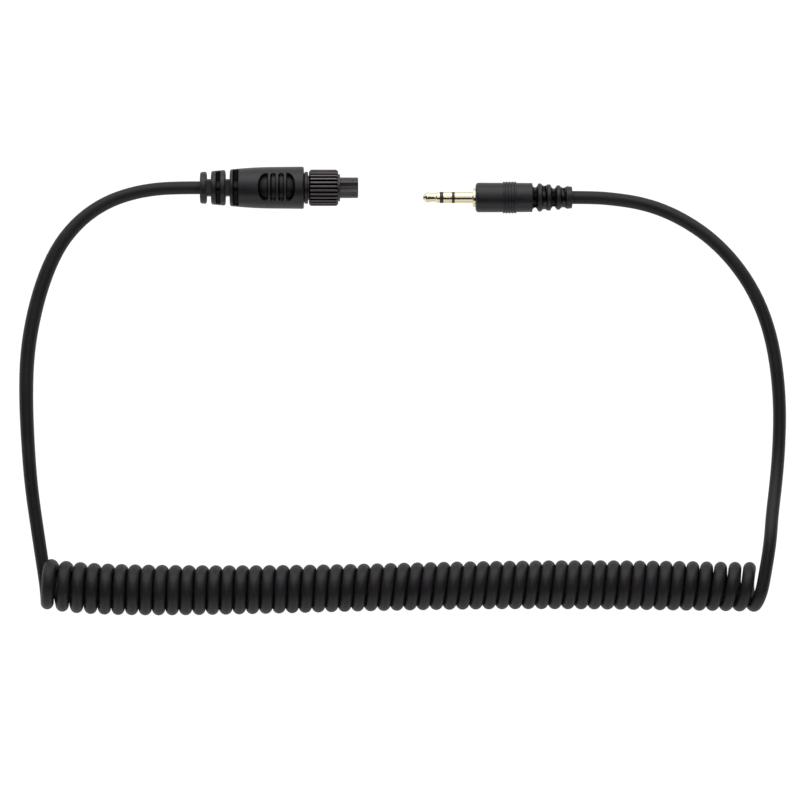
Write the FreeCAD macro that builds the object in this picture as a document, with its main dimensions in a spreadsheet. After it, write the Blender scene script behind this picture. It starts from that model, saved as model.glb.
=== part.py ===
"""Coiled electric release cord: a screw-ring camera plug, a coiled lead and a 2.5 mm three-contact jack.

Everything lies on the plane z = 0 with +X from the camera plug's cord exit towards the jack's.
Both plugs point at each other along X. Lengths are in millimetres.
"""
import FreeCAD, Part
import math
import os
import Sketcher
from FreeCAD import Placement, Rotation, Vector

# name, value or formula, what it is
SIZES = [
    # cord
    ("cord_diameter", "2.5", "cord jacket, outside"),
    ("cord_radius", "=cord_diameter / 2", ""),
    ("wire_radius", "0.42", "one insulated conductor"),
    ("wire_lay", "0.6", "cord axis to a conductor's axis"),
    ("curl_gap", "0.45", "air between neighbouring turns"),
    ("curl_pitch", "=cord_diameter + curl_gap", ""),
    ("curl_radius", "3.95", "coil axis to cord axis"),
    ("coil_left", "-75.0", "x of the coil's first outer crest"),
    ("coil_y", "-87.4", "y of the coil's axis"),
    ("coil_bow", "0.6", "how far the coil's axis wanders sideways"),
    ("coil_bow_start", "26", "x distance from the first crest to the bow's first peak"),
    ("coil_bow_length", "162", "length of one full bow"),
    ("coil_height", "=curl_radius + cord_radius", "coil axis above the table"),
    ("exit_run", "4.6", "straight run of a lead out of its plug"),
    ("coil_run", "7.5", "straight run of a lead up to the coil"),
    # where the two plugs lie
    ("plug_span", "81.86", "from one cord exit to the other"),
    ("axis_offset", "2.1", "camera plug axis to jack axis, sideways"),
    ("camera_plug_x", "=-plug_span / 2", "cord exit of the camera plug"),
    ("camera_plug_y", "=(axis_offset + band_radius - grip_radius) / 2", ""),
    ("camera_plug_z", "=grip_radius", "the camera plug lies on its widest ring"),
    ("jack_x", "=plug_span / 2 - jack_length", "point of the jack's tip"),
    ("jack_y", "=camera_plug_y - axis_offset", ""),
    ("jack_z", "=band_radius", "the jack lies on its ribbed band"),
    # camera plug, strain relief, from the cord exit
    ("relief_step", "1.21", "widest ring of the body to the relief's radius at the cord exit"),
    ("relief_tip_radius", "=grip_radius - relief_step", "strain relief at the cord exit"),
    ("relief_taper", "0.091", "growth of that radius per millimetre"),
    ("relief_core_radius", "1.92", "sleeve left round the cord between the slots"),
    ("relief_slot", "0.98", "width of the side slots"),
    ("relief_round", "0.4", "rounded rims of the relief's blocks"),
    ("web_half", "1.75", "half width of the webs that join the blocks"),
    ("web_drop", "0.27", "flange's rim to the webs"),
    ("web_reach", "=flange_end_radius - web_drop", "height of the webs from the axis"),
    ("flange_end", "1.45", "end flange"),
    ("block_start", "=flange_end + relief_slot", ""),
    ("block_width", "3.15", ""),
    ("block_end", "=block_start + block_width", ""),
    ("body_start", "=block_end + relief_slot", ""),
    ("flange_end_radius", "=relief_tip_radius + relief_taper * flange_end", ""),
    ("block_start_radius", "=relief_tip_radius + relief_taper * block_start", ""),
    ("block_end_radius", "=relief_tip_radius + relief_taper * block_end", ""),
    ("body_start_radius", "=relief_tip_radius + relief_taper * body_start", ""),
    ("window_floor", "1.35", "depth that the front and back slots reach, from the axis"),
    ("block_window", "1.06", "width of the block's front slot"),
    ("block_window_start", "=block_start + (block_width - block_window) / 2", ""),
    ("block_window_end", "=block_window_start + block_window", ""),
    ("body_window", "1.3", "width of the body's front slot"),
    ("body_lip", "0.65", "rim between the body's end and its front slot"),
    ("body_window_start", "=body_start + body_lip", ""),
    ("body_window_end", "=body_window_start + body_window", ""),
    # camera plug, body
    ("body_length", "16.24", "from the last side slot to the front face"),
    ("body_end", "=body_start + body_length", ""),
    ("swell_start_radius", "=relief_tip_radius + relief_taper * body_window_end", ""),
    ("swell_length", "8.15", "curved stretch of the body"),
    ("swell_end", "=body_window_end + swell_length", ""),
    ("body_wall", "1.25", "moulding outside the shell's flange"),
    ("grip_radius", "=anchor_radius + body_wall", "widest ring of the body, at its front"),
    ("front_taper", "0.07", "growth of the radius in front of the curved stretch"),
    ("swell_end_radius", "=grip_radius - front_taper", ""),
    ("body_round", "0.35", "rounded rim of the front face"),
    ("collar_wall", "0.83", "collar round the shell's neck"),
    ("collar_radius", "=neck_radius + collar_wall", ""),
    ("collar_length", "0.9", ""),
    ("collar_end", "=body_end + collar_length", ""),
    ("collar_round", "0.15", ""),
    # camera plug, finger grip
    ("grip_to_front", "5.8", "grip's middle rib to the front face"),
    ("grip_centre", "=body_end - grip_to_front", ""),
    ("grip_pitch", "1.75", "from rib to rib"),
    ("rib_width", "0.6", ""),
    ("grip_half_length", "4.18", "middle of the grip to its ends"),
    ("grip_half_width", "3.1", "axis to the sides of the middle pockets"),
    ("grip_end_half", "2.75", "half width of the end pockets at their ribs"),
    ("grip_depth", "0.7", "pocket depth below the ribs"),
    ("grip_floor_radius", "=swell_end_radius - grip_depth", ""),
    ("grip_undercut", "1.68", "how far below the pocket floor the straight cut stops"),
    ("grip_cut_floor", "=grip_floor_radius - grip_undercut", ""),
    ("pocket_half", "=(grip_pitch - rib_width) / 2", ""),
    ("pocket_left", "=grip_centre - grip_pitch / 2", ""),
    ("pocket_right", "=grip_centre + grip_pitch / 2", ""),
    ("grip_left", "=grip_centre - grip_half_length", ""),
    ("grip_left_rib", "=grip_centre - grip_pitch - rib_width / 2", ""),
    ("grip_right", "=grip_centre + grip_half_length", ""),
    ("grip_right_rib", "=grip_centre + grip_pitch + rib_width / 2", ""),
    # camera plug, inside
    ("mould_cover", "0.49", "body's front slot to the inner moulding"),
    ("mould_back", "=body_window_end + mould_cover", "rear face of the inner moulding"),
    ("anchor_step", "0.5", "shell's flange outside the inner moulding"),
    ("mould_radius", "=anchor_radius - anchor_step", ""),
    ("cord_in", "3.0", "how far the cord reaches into the inner moulding"),
    ("cord_end", "=mould_back + cord_in", ""),
    ("crimp_length", "2.4", ""),
    ("crimp_start", "=cord_end - crimp_length", ""),
    ("crimp_wall", "0.3", ""),
    ("crimp_radius", "=cord_radius + crimp_wall", ""),
    ("anchor_height", "0.7", "shell's flange above its neck"),
    ("anchor_radius", "=neck_radius + anchor_height", "flange that locks the shell in the moulding"),
    ("anchor_width", "1.1", ""),
    ("anchor_cover", "2.1", "moulding in front of that flange"),
    ("anchor_front", "=body_end - anchor_cover", ""),
    ("anchor_back", "=anchor_front - anchor_width", ""),
    # camera plug, shell and ring
    ("neck_radius", "2.7", "neck that the ring turns on"),
    ("neck_show", "0.25", "neck seen between collar and ring"),
    ("ring_wall", "0.94", "ring outside the stop, ridges included"),
    ("ring_radius", "=thread_radius + ring_wall", ""),
    ("ring_length", "6.4", ""),
    ("ring_back", "=collar_end + neck_show", ""),
    ("ring_front", "=ring_back + ring_length", ""),
    ("ring_bevel", "0.35", ""),
    ("ring_bevel_radius", "=ring_radius - ring_bevel", ""),
    ("ring_bevel_back", "=ring_back + ring_bevel", ""),
    ("ring_bevel_front", "=ring_front - ring_bevel", ""),
    ("running_gap", "0.06", "radial clearance of what turns or slides"),
    ("ring_bore_radius", "=neck_radius + running_gap", ""),
    ("ring_web", "1.3", "thickness of the ring's rear wall"),
    ("ring_web_front", "=ring_back + ring_web", ""),
    ("thread_radius", "=stop_radius + running_gap", "mouth of the ring, over the plug's stop"),
    ("knurl_count", "28", "ridges round the ring"),
    ("knurl_depth", "0.34", ""),
    ("knurl_half", "0.3", "half width of a groove at the ridge tops"),
    ("knurl_root", "=ring_radius - knurl_depth", ""),
    ("cut_margin", "0.1", "how far a cutter reaches outside what it cuts"),
    ("knurl_top", "=ring_radius + cut_margin", ""),
    ("knurl_top_half", "=knurl_half * (knurl_depth + cut_margin) / knurl_depth", ""),
    ("clip_wall", "0.34", "radial thickness of the friction clip"),
    ("clip_radius", "=ring_bore_radius + clip_wall", ""),
    ("clip_width", "0.4", ""),
    ("clip_play", "0.04", "end play of the clip in its groove"),
    ("clip_groove_radius", "=clip_radius + running_gap", ""),
    ("clip_groove_start", "=ring_back + (ring_web - clip_width) / 2 - clip_play", ""),
    ("clip_start", "=clip_groove_start + clip_play", ""),
    ("clip_end", "=clip_start + clip_width", ""),
    ("clip_groove_end", "=clip_end + clip_play", ""),
    ("clip_opening", "1.1", "half width of the clip's gap"),
    ("ring_travel", "3.6", "slide of the ring, from the collar to the stop"),
    ("stop_height", "0.3", "shoulder that stops the ring, above the neck"),
    ("stop_radius", "=neck_radius + stop_height", ""),
    ("stop_play", "0.05", "air left in front of the ring's rear wall at the end of its slide"),
    ("stop_start", "=ring_web_front + ring_travel + stop_play", ""),
    ("stop_show", "0.4", "shoulder seen in front of the ring"),
    ("stop_end", "=ring_front + stop_show", ""),
    ("barrel_step", "0.42", "neck's radius less the barrel's"),
    ("barrel_radius", "=neck_radius - barrel_step", ""),
    ("barrel_length", "4.0", ""),
    ("barrel_end", "=stop_end + barrel_length", "front of the camera plug"),
    ("barrel_bevel", "0.15", ""),
    ("barrel_wall", "0.42", ""),
    ("barrel_bore_radius", "=barrel_radius - barrel_wall", ""),
    ("key_half", "1.05", "half width of the key slot"),
    ("key_depth", "0.26", ""),
    ("key_floor", "=barrel_radius - key_depth", "height of the key slot's floor above the axis"),
    ("insert_recess", "3.0", "front of the shell to the pin insert"),
    ("insert_length", "3.6", ""),
    ("insert_end", "=barrel_end - insert_recess", ""),
    ("insert_start", "=insert_end - insert_length", ""),
    ("pin_circle", "1.0", "axis to a contact pin's axis"),
    ("pin_radius", "0.26", ""),
    ("pin_recess", "0.8", "front of the shell to the pin tips"),
    ("pin_end", "=barrel_end - pin_recess", ""),
    ("pin_count", "3", ""),
    ("cup_radius", "0.46", "solder end of a pin"),
    ("cup_length", "4.2", ""),
    ("cup_start", "=insert_start - cup_length", ""),
    # jack, contacts, from the point of the tip
    ("jack_radius", "1.25", "standard 2.5 mm contact barrel"),
    ("jack_contact_length", "11.05", "point of the tip to the flange"),
    ("nose_radius", "0.42", "rounded point of the tip"),
    ("tip_head", "0.9", "length of the tip's head"),
    ("tip_head_step", "0.09", "jack's radius less the head's"),
    ("tip_head_radius", "=jack_radius - tip_head_step", ""),
    ("tip_taper", "1.72", "length of the cone behind the head"),
    ("tip_waist_width", "0.28", ""),
    ("tip_waist", "=tip_head + tip_taper", ""),
    ("tip_waist_end", "=tip_waist + tip_waist_width", ""),
    ("tip_waist_step", "0.3", "jack's radius less the waist's"),
    ("tip_waist_radius", "=jack_radius - tip_waist_step", ""),
    ("tip_shoulder_rise", "0.2", ""),
    ("tip_shoulder_width", "0.4", ""),
    ("tip_shoulder", "=tip_waist_end + tip_shoulder_rise", ""),
    ("tip_shoulder_end", "=tip_shoulder + tip_shoulder_width", ""),
    ("tip_shoulder_step", "0.1", "jack's radius less the shoulder's"),
    ("tip_shoulder_radius", "=jack_radius - tip_shoulder_step", ""),
    ("tip_shoulder_fall", "0.05", "slope of the shoulder towards the insulator"),
    ("tip_shoulder_end_radius", "=tip_shoulder_radius - tip_shoulder_fall", ""),
    ("tip_back", "0.3", "bevel behind the shoulder"),
    ("tip_end", "=tip_shoulder_end + tip_back", ""),
    ("tip_end_radius", "=jack_radius - tip_waist_step", ""),
    ("sleeve_wall", "0.25", ""),
    ("tube_wall", "0.2", "wall of each tube in the jack's barrel"),
    ("outer_tube_radius", "=jack_radius - sleeve_wall", "insulator over the ring contact's tube"),
    ("ring_tube_radius", "=outer_tube_radius - tube_wall", "tube of the ring contact"),
    ("inner_tube_radius", "=ring_tube_radius - tube_wall", "insulator over the tip's rod"),
    ("tip_rod_radius", "=inner_tube_radius - tube_wall", ""),
    ("inner_insulator_width", "0.75", ""),
    ("inner_insulator_end", "=tip_end + inner_insulator_width", ""),
    ("ring_contact_width", "1.9", ""),
    ("ring_contact_end", "=inner_insulator_end + ring_contact_width", ""),
    ("outer_insulator_width", "0.6", ""),
    ("outer_insulator_end", "=ring_contact_end + outer_insulator_width", ""),
    ("jack_flange_height", "0.8", ""),
    ("jack_flange_radius", "=jack_radius + jack_flange_height", ""),
    ("jack_flange_width", "0.59", ""),
    ("jack_flange_end", "=jack_contact_length + jack_flange_width", ""),
    ("boss_height", "0.35", ""),
    ("boss_radius", "=jack_radius + boss_height", "sleeve's root in the moulding"),
    ("boss_length", "1.5", ""),
    ("boss_end", "=jack_flange_end + boss_length", ""),
    # jack, lugs
    ("lug_thick", "0.25", ""),
    ("lug_half", "0.55", "half width of a solder tab"),
    ("washer_radius", "=jack_flange_radius", ""),
    ("washer_width", "0.4", ""),
    ("washer_end", "=boss_end + washer_width", ""),
    ("ring_lug_end", "=washer_end + lug_thick", ""),
    ("ring_lug_radius", "=boss_radius", ""),
    ("ring_tab_inner", "=ring_lug_radius - lug_thick", ""),
    ("tab_length", "2.0", ""),
    ("ring_tab_end", "=ring_lug_end + tab_length", ""),
    ("lug_spacing", "0.5", "air between the two lugs"),
    ("tip_lug_start", "=ring_lug_end + lug_spacing", ""),
    ("tip_lug_end", "=tip_lug_start + lug_thick", ""),
    ("tip_lug_step", "0.3", "ring lug's radius less the tip lug's"),
    ("tip_lug_radius", "=ring_lug_radius - tip_lug_step", ""),
    ("tip_tab_inner", "=tip_lug_radius - lug_thick", ""),
    ("tip_tab_end", "=tip_lug_end + tab_length", ""),
    ("rod_rivet", "0.2", "end of the tip's rod behind its lug"),
    ("rod_end", "=tip_lug_end + rod_rivet", ""),
    ("clamp_gap", "0.12", "rear washer to the ground lug's tongue"),
    ("tongue_inner", "=washer_radius + clamp_gap", ""),
    ("tongue_outer", "=tongue_inner + lug_thick", ""),
    ("clamp_washer_start", "=boss_end - lug_thick", ""),
    ("ground_side", "=tongue_inner - wire_radius - clamp_gap", "jack axis to the ground wire's end"),
    ("tag_start", "=ring_tab_end - lug_thick", ""),
    ("tag_inner", "=ground_side - wire_radius / 2", ""),
    ("jack_wire_run", "1.46", "tip lug's tab to the cord's jacket"),
    ("jack_cord_start", "=tip_tab_end + jack_wire_run", ""),
    ("jack_cord_in", "3.0", "how far the cord reaches into the inner moulding"),
    ("jack_mould_back", "=jack_cord_start + jack_cord_in", "rear face of the inner moulding"),
    ("clamp_width", "1.4", ""),
    ("clamp_inset", "0.8", "end of the jacket to the clamp"),
    ("clamp_start", "=jack_cord_start + clamp_inset", ""),
    ("clamp_end", "=clamp_start + clamp_width", ""),
    ("clamp_ring_radius", "=cord_radius + lug_thick", ""),
    # jack, moulding
    ("jack_mould_front_wall", "0.3", "overmoulding in front of the inner moulding"),
    ("jack_mould_front", "=jack_flange_end + jack_mould_front_wall", ""),
    ("jack_mould_cover", "0.2", "inner moulding outside the clamp's tongue"),
    ("jack_mould_radius", "=tongue_outer + jack_mould_cover", ""),
    ("jack_wall", "0.65", "overmoulding round the inner moulding"),
    ("jack_front_radius", "=jack_mould_radius + jack_wall", "overmoulding behind the flange"),
    ("jack_front_round", "0.7", ""),
    ("jack_draft", "0.035", "loss of radius over each half of the overmoulding"),
    ("jack_mid_radius", "=jack_front_radius - jack_draft", ""),
    ("jack_rear_radius", "=jack_mid_radius - jack_draft", ""),
    ("jack_front_length", "6.01", "front face to the ribbed band"),
    ("band_start", "=jack_flange_end + jack_front_length", ""),
    ("rib_pitch", "0.65", "from rib to rib of the band"),
    ("band_groove", "0.26", "width of a groove"),
    ("band_groove_depth", "0.16", ""),
    ("band_ribs", "5", ""),
    ("band_end", "=band_start + band_ribs * rib_pitch - band_groove", ""),
    ("band_height", "0.265", ""),
    ("band_radius", "=jack_mid_radius + band_height", ""),
    ("band_groove_start", "=band_start + rib_pitch - band_groove", ""),
    ("band_groove_end", "=band_start + rib_pitch", ""),
    ("band_groove_floor", "=band_radius - band_groove_depth", ""),
    ("band_over", "=band_radius + cut_margin", ""),
    ("band_round", "0.12", ""),
    ("jack_rear_cover", "3.15", "inner moulding to the strain relief"),
    ("jack_body_end", "=jack_mould_back + jack_rear_cover", "front of the strain relief"),
    ("jack_core_radius", "2.05", "sleeve left round the cord at the open slots"),
    ("fin_round", "0.3", ""),
    ("open_slot", "1.2", ""),
    ("fin_width", "0.9", ""),
    ("valley", "1.1", ""),
    ("fin_one", "=jack_body_end + open_slot", ""),
    ("fin_one_end", "=fin_one + fin_width", ""),
    ("fin_two", "=fin_one_end + valley", ""),
    ("fin_two_end", "=fin_two + fin_width", ""),
    ("fin_three", "=fin_two_end + open_slot", ""),
    ("fin_three_end", "=fin_three + fin_width", ""),
    ("last_valley", "1.2", ""),
    ("end_block", "=fin_three_end + last_valley", ""),
    ("end_block_width", "1.37", ""),
    ("jack_length", "=end_block + end_block_width", "point of the tip to the cord exit"),
    ("fin_taper", "0.1", "loss of the relief's radius per millimetre"),
    ("fin_one_radius", "=jack_front_radius - fin_taper * (fin_one - jack_body_end)", ""),
    ("fin_one_end_radius", "=jack_front_radius - fin_taper * (fin_one_end - jack_body_end)", ""),
    ("fin_two_radius", "=jack_front_radius - fin_taper * (fin_two - jack_body_end)", ""),
    ("fin_two_end_radius", "=jack_front_radius - fin_taper * (fin_two_end - jack_body_end)", ""),
    ("fin_three_radius", "=jack_front_radius - fin_taper * (fin_three - jack_body_end)", ""),
    ("fin_three_end_radius", "=jack_front_radius - fin_taper * (fin_three_end - jack_body_end)", ""),
    ("end_block_radius", "=jack_front_radius - fin_taper * (end_block - jack_body_end)", ""),
    ("exit_radius", "=jack_front_radius - fin_taper * (jack_length - jack_body_end)", ""),
    ("valley_depth", "0.36", "shallow groove between two fins"),
    ("valley_one_radius", "=fin_two_radius - valley_depth", ""),
    ("valley_two_radius", "=end_block_radius - valley_depth", ""),
    ("strut_half", "0.4", "half width of the struts across an open slot"),
    ("strut_drop", "0.25", "fin's rim to the struts"),
    ("strut_one_reach", "=fin_one_radius - strut_drop", ""),
    ("strut_two_reach", "=fin_three_radius - strut_drop", ""),
    ("fin_window_floor", "1.5", "depth of the long windows, from the axis"),
    ("fin_window_half", "2.0", "half width of the front long window"),
    ("end_window_half", "1.6", "half width of the rear long window"),
    ("fin_window_inset", "0.12", "window edge to the fin beside it"),
    ("fin_window_start", "=fin_one_end + fin_window_inset", ""),
    ("fin_window_end", "=fin_two - fin_window_inset", ""),
    ("end_window_start", "=fin_three_end + fin_window_inset", ""),
    ("end_window_end", "=end_block - fin_window_inset", ""),
]

# The route of each free lead, chosen by eye: x, y and height of the cord's axis above the table.
# Each lead leaves its plug straight and meets the coil straight; both ends are added in cord().
CAMERA_LEAD = [
    (-50.8, 0.35, 3.9),
    (-56.3, -0.6, 2.5),
    (-61.9, -2.7, 1.5),
    (-67.2, -6.4, 1.25),
    (-71.8, -11.8, 1.25),
    (-75.1, -18.8, 1.25),
    (-77.5, -27.1, 1.25),
    (-79.0, -36.0, 1.25),
    (-79.5, -45.4, 1.25),
    (-79.2, -55.2, 1.25),
    (-78.3, -65.4, 1.25),
]
JACK_LEAD = [
    (49.9, -1.8, 2.9),
    (55.4, -2.5, 1.9),
    (61.0, -4.1, 1.3),
    (66.6, -6.9, 1.25),
    (71.9, -10.8, 1.25),
    (76.8, -16.1, 1.25),
    (80.9, -22.5, 1.25),
    (83.9, -29.8, 1.25),
    (85.7, -38.1, 1.25),
    (86.6, -47.4, 1.25),
    (86.5, -56.4, 1.4),
    (85.6, -64.4, 3.3),
    (84.4, -71.7, 6.6),
]
TURNS = 53
ARCS_PER_TURN = 4
SECTION_SIDES = 6
# Share of the shorter run that a rounded corner takes on each side of it.
CORNER_SHARE = 0.45
# Share of its length over which an inner wire leaves each end straight.
WIRE_EASE = 0.32
# Points per turn that the gap between turns is measured with.
GAP_STEPS = 96
# Two edges this near to each other, in millimetres, count as being in one place.
SAME_PLACE = 1e-4

doc = FreeCAD.newDocument("ReleaseCord")
sheet = doc.addObject("Spreadsheet::Sheet", "Sizes")
for row, (alias, content, note) in enumerate(SIZES, start=1):
    sheet.set("A%d" % row, alias)
    sheet.set("B%d" % row, content)
    sheet.set("C%d" % row, note)
    sheet.setAlias("B%d" % row, alias)
doc.recompute()


def size(alias):
    """The sheet's value under this name; None stands for zero."""
    return 0.0 if alias is None else float(sheet.get(alias))


def bind(item, path, alias):
    item.setExpression(path, "Sizes." + alias)


# What is exported: node name to document object.
nodes = {}


def place(item, plug, turn=0):
    """Puts an object in the frame of one plug, turned about the plug's axis."""
    item.Placement = Placement(Vector(), Rotation(Vector(1, 0, 0), turn))
    for letter in "xyz":
        bind(item, ".Placement.Base." + letter, "%s_%s" % (plug, letter))


def new_body(name, plug, turn=0):
    body = doc.addObject("PartDesign::Body", name)
    body.Label = name
    place(body, plug, turn)
    nodes[name] = body
    return body


def sketch_on(body, name, role, lift=None, turn=0):
    """A sketch on one of the body's own planes, lifted off it by a named size."""
    sketch = body.newObject("Sketcher::SketchObject", name)
    plane = next(item for item in body.Origin.OriginFeatures if item.Role == role)
    sketch.AttachmentSupport = [(plane, "")]
    sketch.MapMode = "FlatFace"
    sketch.AttachmentOffset = Placement(Vector(0, 0, size(lift)), Rotation(Vector(0, 0, 1), turn))
    if lift:
        bind(sketch, ".AttachmentOffset.Base.z", lift)
    return sketch


def measure(sketch, kind, edge, point, alias):
    """Dimensions one end of an edge from the sketch's origin, or puts it on the axis."""
    if alias is None:
        axis = -2 if kind == "DistanceX" else -1
        sketch.addConstraint(Sketcher.Constraint("PointOnObject", edge, point, axis))
        return
    index = sketch.addConstraint(Sketcher.Constraint(kind, -1, 1, edge, point, size(alias)))
    bind(sketch, "Constraints[%d]" % index, alias)


def outline(sketch, corners, crowned=None):
    """A closed loop of lines through corners, each a pair of size names.

    The edge that starts at the corner numbered crowned is an arc instead, bulging outwards and
    tangent to the edge after it.
    """
    points = [Vector(size(x), size(y), 0) for x, y in corners]
    count = len(points)
    for index in range(count):
        start, end = points[index], points[(index + 1) % count]
        if index == crowned:
            rise = end.y - start.y
            radius = ((end.x - start.x) ** 2 + rise**2) / (2 * rise)
            centre = Vector(end.x, end.y - radius, 0)
            angle = math.atan2(start.y - centre.y, start.x - centre.x)
            circle = Part.Circle(centre, Vector(0, 0, 1), radius)
            sketch.addGeometry(Part.ArcOfCircle(circle, math.pi / 2, angle), False)
        else:
            sketch.addGeometry(Part.LineSegment(start, end), False)
    for index in range(count):
        after = (index + 1) % count
        end = 1 if index == crowned else 2
        start = 2 if after == crowned else 1
        if index == crowned:
            sketch.addConstraint(Sketcher.Constraint("Tangent", index, end, after, start))
        else:
            sketch.addConstraint(Sketcher.Constraint("Coincident", index, end, after, start))
    for index, (x, y) in enumerate(corners):
        point = 2 if index == crowned else 1
        before = corners[index - 1]
        straight = index > 0 and index - 1 != crowned
        if straight and x == before[0]:
            sketch.addConstraint(Sketcher.Constraint("Vertical", index - 1))
        else:
            measure(sketch, "DistanceX", index, point, x)
        if straight and y == before[1]:
            sketch.addConstraint(Sketcher.Constraint("Horizontal", index - 1))
        else:
            measure(sketch, "DistanceY", index, point, y)


def band_outline(sketch, start, end, half):
    """A rectangle from start to end along the plug's axis, equally wide on both sides of it."""
    first = sketch.GeometryCount
    left, right, side = size(start), size(end), size(half)
    corners = [(left, -side), (right, -side), (right, side), (left, side)]
    for index in range(4):
        here = Vector(*corners[index], 0)
        there = Vector(*corners[(index + 1) % 4], 0)
        sketch.addGeometry(Part.LineSegment(here, there), False)
    for index in range(4):
        after = first + (index + 1) % 4
        sketch.addConstraint(Sketcher.Constraint("Coincident", first + index, 2, after, 1))
    sketch.addConstraint(Sketcher.Constraint("Vertical", first + 3))
    sketch.addConstraint(Sketcher.Constraint("Horizontal", first))
    sketch.addConstraint(Sketcher.Constraint("Horizontal", first + 2))
    sketch.addConstraint(Sketcher.Constraint("Symmetric", first + 2, 1, first, 2, -1))
    measure(sketch, "DistanceX", first + 3, 1, start)
    measure(sketch, "DistanceX", first + 2, 1, end)
    measure(sketch, "DistanceY", first + 2, 1, half)


def slot_outline(sketch, centre, half_length, half_width):
    """A slot across the plug's axis, with round ends, centred on a named distance along it."""
    first = sketch.GeometryCount
    x, side, radius = size(centre), size(half_width), size(half_length)
    reach = side - radius
    left, right = x - radius, x + radius
    up = Part.Circle(Vector(x, reach, 0), Vector(0, 0, 1), radius)
    down = Part.Circle(Vector(x, -reach, 0), Vector(0, 0, 1), radius)
    sketch.addGeometry(Part.ArcOfCircle(up, 0, math.pi), False)
    sketch.addGeometry(Part.LineSegment(Vector(left, reach, 0), Vector(left, -reach, 0)), False)
    sketch.addGeometry(Part.ArcOfCircle(down, math.pi, 2 * math.pi), False)
    sketch.addGeometry(Part.LineSegment(Vector(right, -reach, 0), Vector(right, reach, 0)), False)
    for index in range(4):
        after = first + (index + 1) % 4
        sketch.addConstraint(Sketcher.Constraint("Tangent", first + index, 2, after, 1))
    sketch.addConstraint(Sketcher.Constraint("Vertical", first + 1))
    sketch.addConstraint(Sketcher.Constraint("Symmetric", first, 3, first + 2, 3, -1))
    measure(sketch, "DistanceX", first, 3, centre)
    index = sketch.addConstraint(Sketcher.Constraint("Radius", first, radius))
    bind(sketch, "Constraints[%d]" % index, half_length)
    index = sketch.addConstraint(Sketcher.Constraint("DistanceY", -1, 1, first, 3, reach))
    sketch.setExpression("Constraints[%d]" % index, "Sizes.%s - Sizes.%s" % (half_width, half_length))


def bow_outline(sketch, chord, crest, half):
    """A chord across the plug's axis closed by an arc through its crest on the axis."""
    first = sketch.GeometryCount
    line, top, side = size(chord), size(crest), size(half)
    out = abs(top - line)
    radius = (side**2 + out**2) / (2 * out)
    towards = 1 if top > line else -1
    centre = Vector(top - towards * radius, 0, 0)
    swing = math.atan2(side, (line - centre.x) * towards)
    middle = 0 if towards > 0 else math.pi
    circle = Part.Circle(centre, Vector(0, 0, 1), radius)
    sketch.addGeometry(Part.ArcOfCircle(circle, middle - swing, middle + swing), False)
    ends = [Vector(line, -towards * side, 0), Vector(line, towards * side, 0)]
    sketch.addGeometry(Part.LineSegment(ends[1], ends[0]), False)
    sketch.addConstraint(Sketcher.Constraint("Coincident", first, 2, first + 1, 1))
    sketch.addConstraint(Sketcher.Constraint("Coincident", first + 1, 2, first, 1))
    sketch.addConstraint(Sketcher.Constraint("PointOnObject", first, 3, -1))
    sketch.addConstraint(Sketcher.Constraint("Vertical", first + 1))
    measure(sketch, "DistanceX", first + 1, 1, chord)
    upper = 1 if towards > 0 else 2
    measure(sketch, "DistanceY", first + 1, upper, half)
    peak = sketch.addGeometry(Part.Point(Vector(top, 0, 0)), True)
    sketch.addConstraint(Sketcher.Constraint("PointOnObject", peak, 1, -1))
    sketch.addConstraint(Sketcher.Constraint("PointOnObject", peak, 1, first))
    measure(sketch, "DistanceX", peak, 1, crest)


def revolve(body, name, corners, crowned=None, cut=False):
    """Turns an outline about the plug's axis, adding or cutting."""
    sketch = sketch_on(body, name + "_outline", "XY_Plane")
    outline(sketch, corners, crowned)
    kind = "PartDesign::Groove" if cut else "PartDesign::Revolution"
    feature = body.newObject(kind, name)
    feature.Profile = (sketch, [""])
    feature.ReferenceAxis = (sketch, ["H_Axis"])
    feature.Angle = 360
    doc.recompute()
    return feature


def pad(body, name, sketch, length, both_ways=True):
    feature = body.newObject("PartDesign::Pad", name)
    feature.Profile = (sketch, [""])
    if both_ways:
        feature.SideType = "Symmetric"
        feature.setExpression("Length", "2 * Sizes." + length)
    else:
        feature.setExpression("Length", length)
    doc.recompute()
    return feature


def pocket_up(body, name, sketch):
    """Cuts from a sketch outwards, in the direction of the sketch's normal."""
    before = body.Shape.Volume
    feature = body.newObject("PartDesign::Pocket", name)
    feature.Profile = (sketch, [""])
    feature.Type = "ThroughAll"
    feature.Reversed = True
    doc.recompute()
    if body.Shape.Volume >= before:
        raise RuntimeError("the pocket %s cuts nothing" % name)
    return feature


def mirror(body, name, features, role):
    """Repeats features on the other side of one of the body's planes."""
    feature = body.newObject("PartDesign::Mirrored", name)
    feature.Originals = features
    plane = next(item for item in body.Origin.OriginFeatures if item.Role == role)
    feature.MirrorPlane = (plane, [""])
    body.Tip = feature
    doc.recompute()
    return feature


def polar(body, name, features, count, angle=360):
    """Repeats features about the plug's axis; count is a size name or a number."""
    feature = body.newObject("PartDesign::PolarPattern", name)
    feature.Originals = features
    axis = next(item for item in body.Origin.OriginFeatures if item.Role == "X_Axis")
    feature.Axis = (axis, [""])
    feature.Angle = angle
    if isinstance(count, str):
        bind(feature, "Occurrences", count)
    else:
        feature.Occurrences = count
    body.Tip = feature
    doc.recompute()
    return feature


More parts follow.
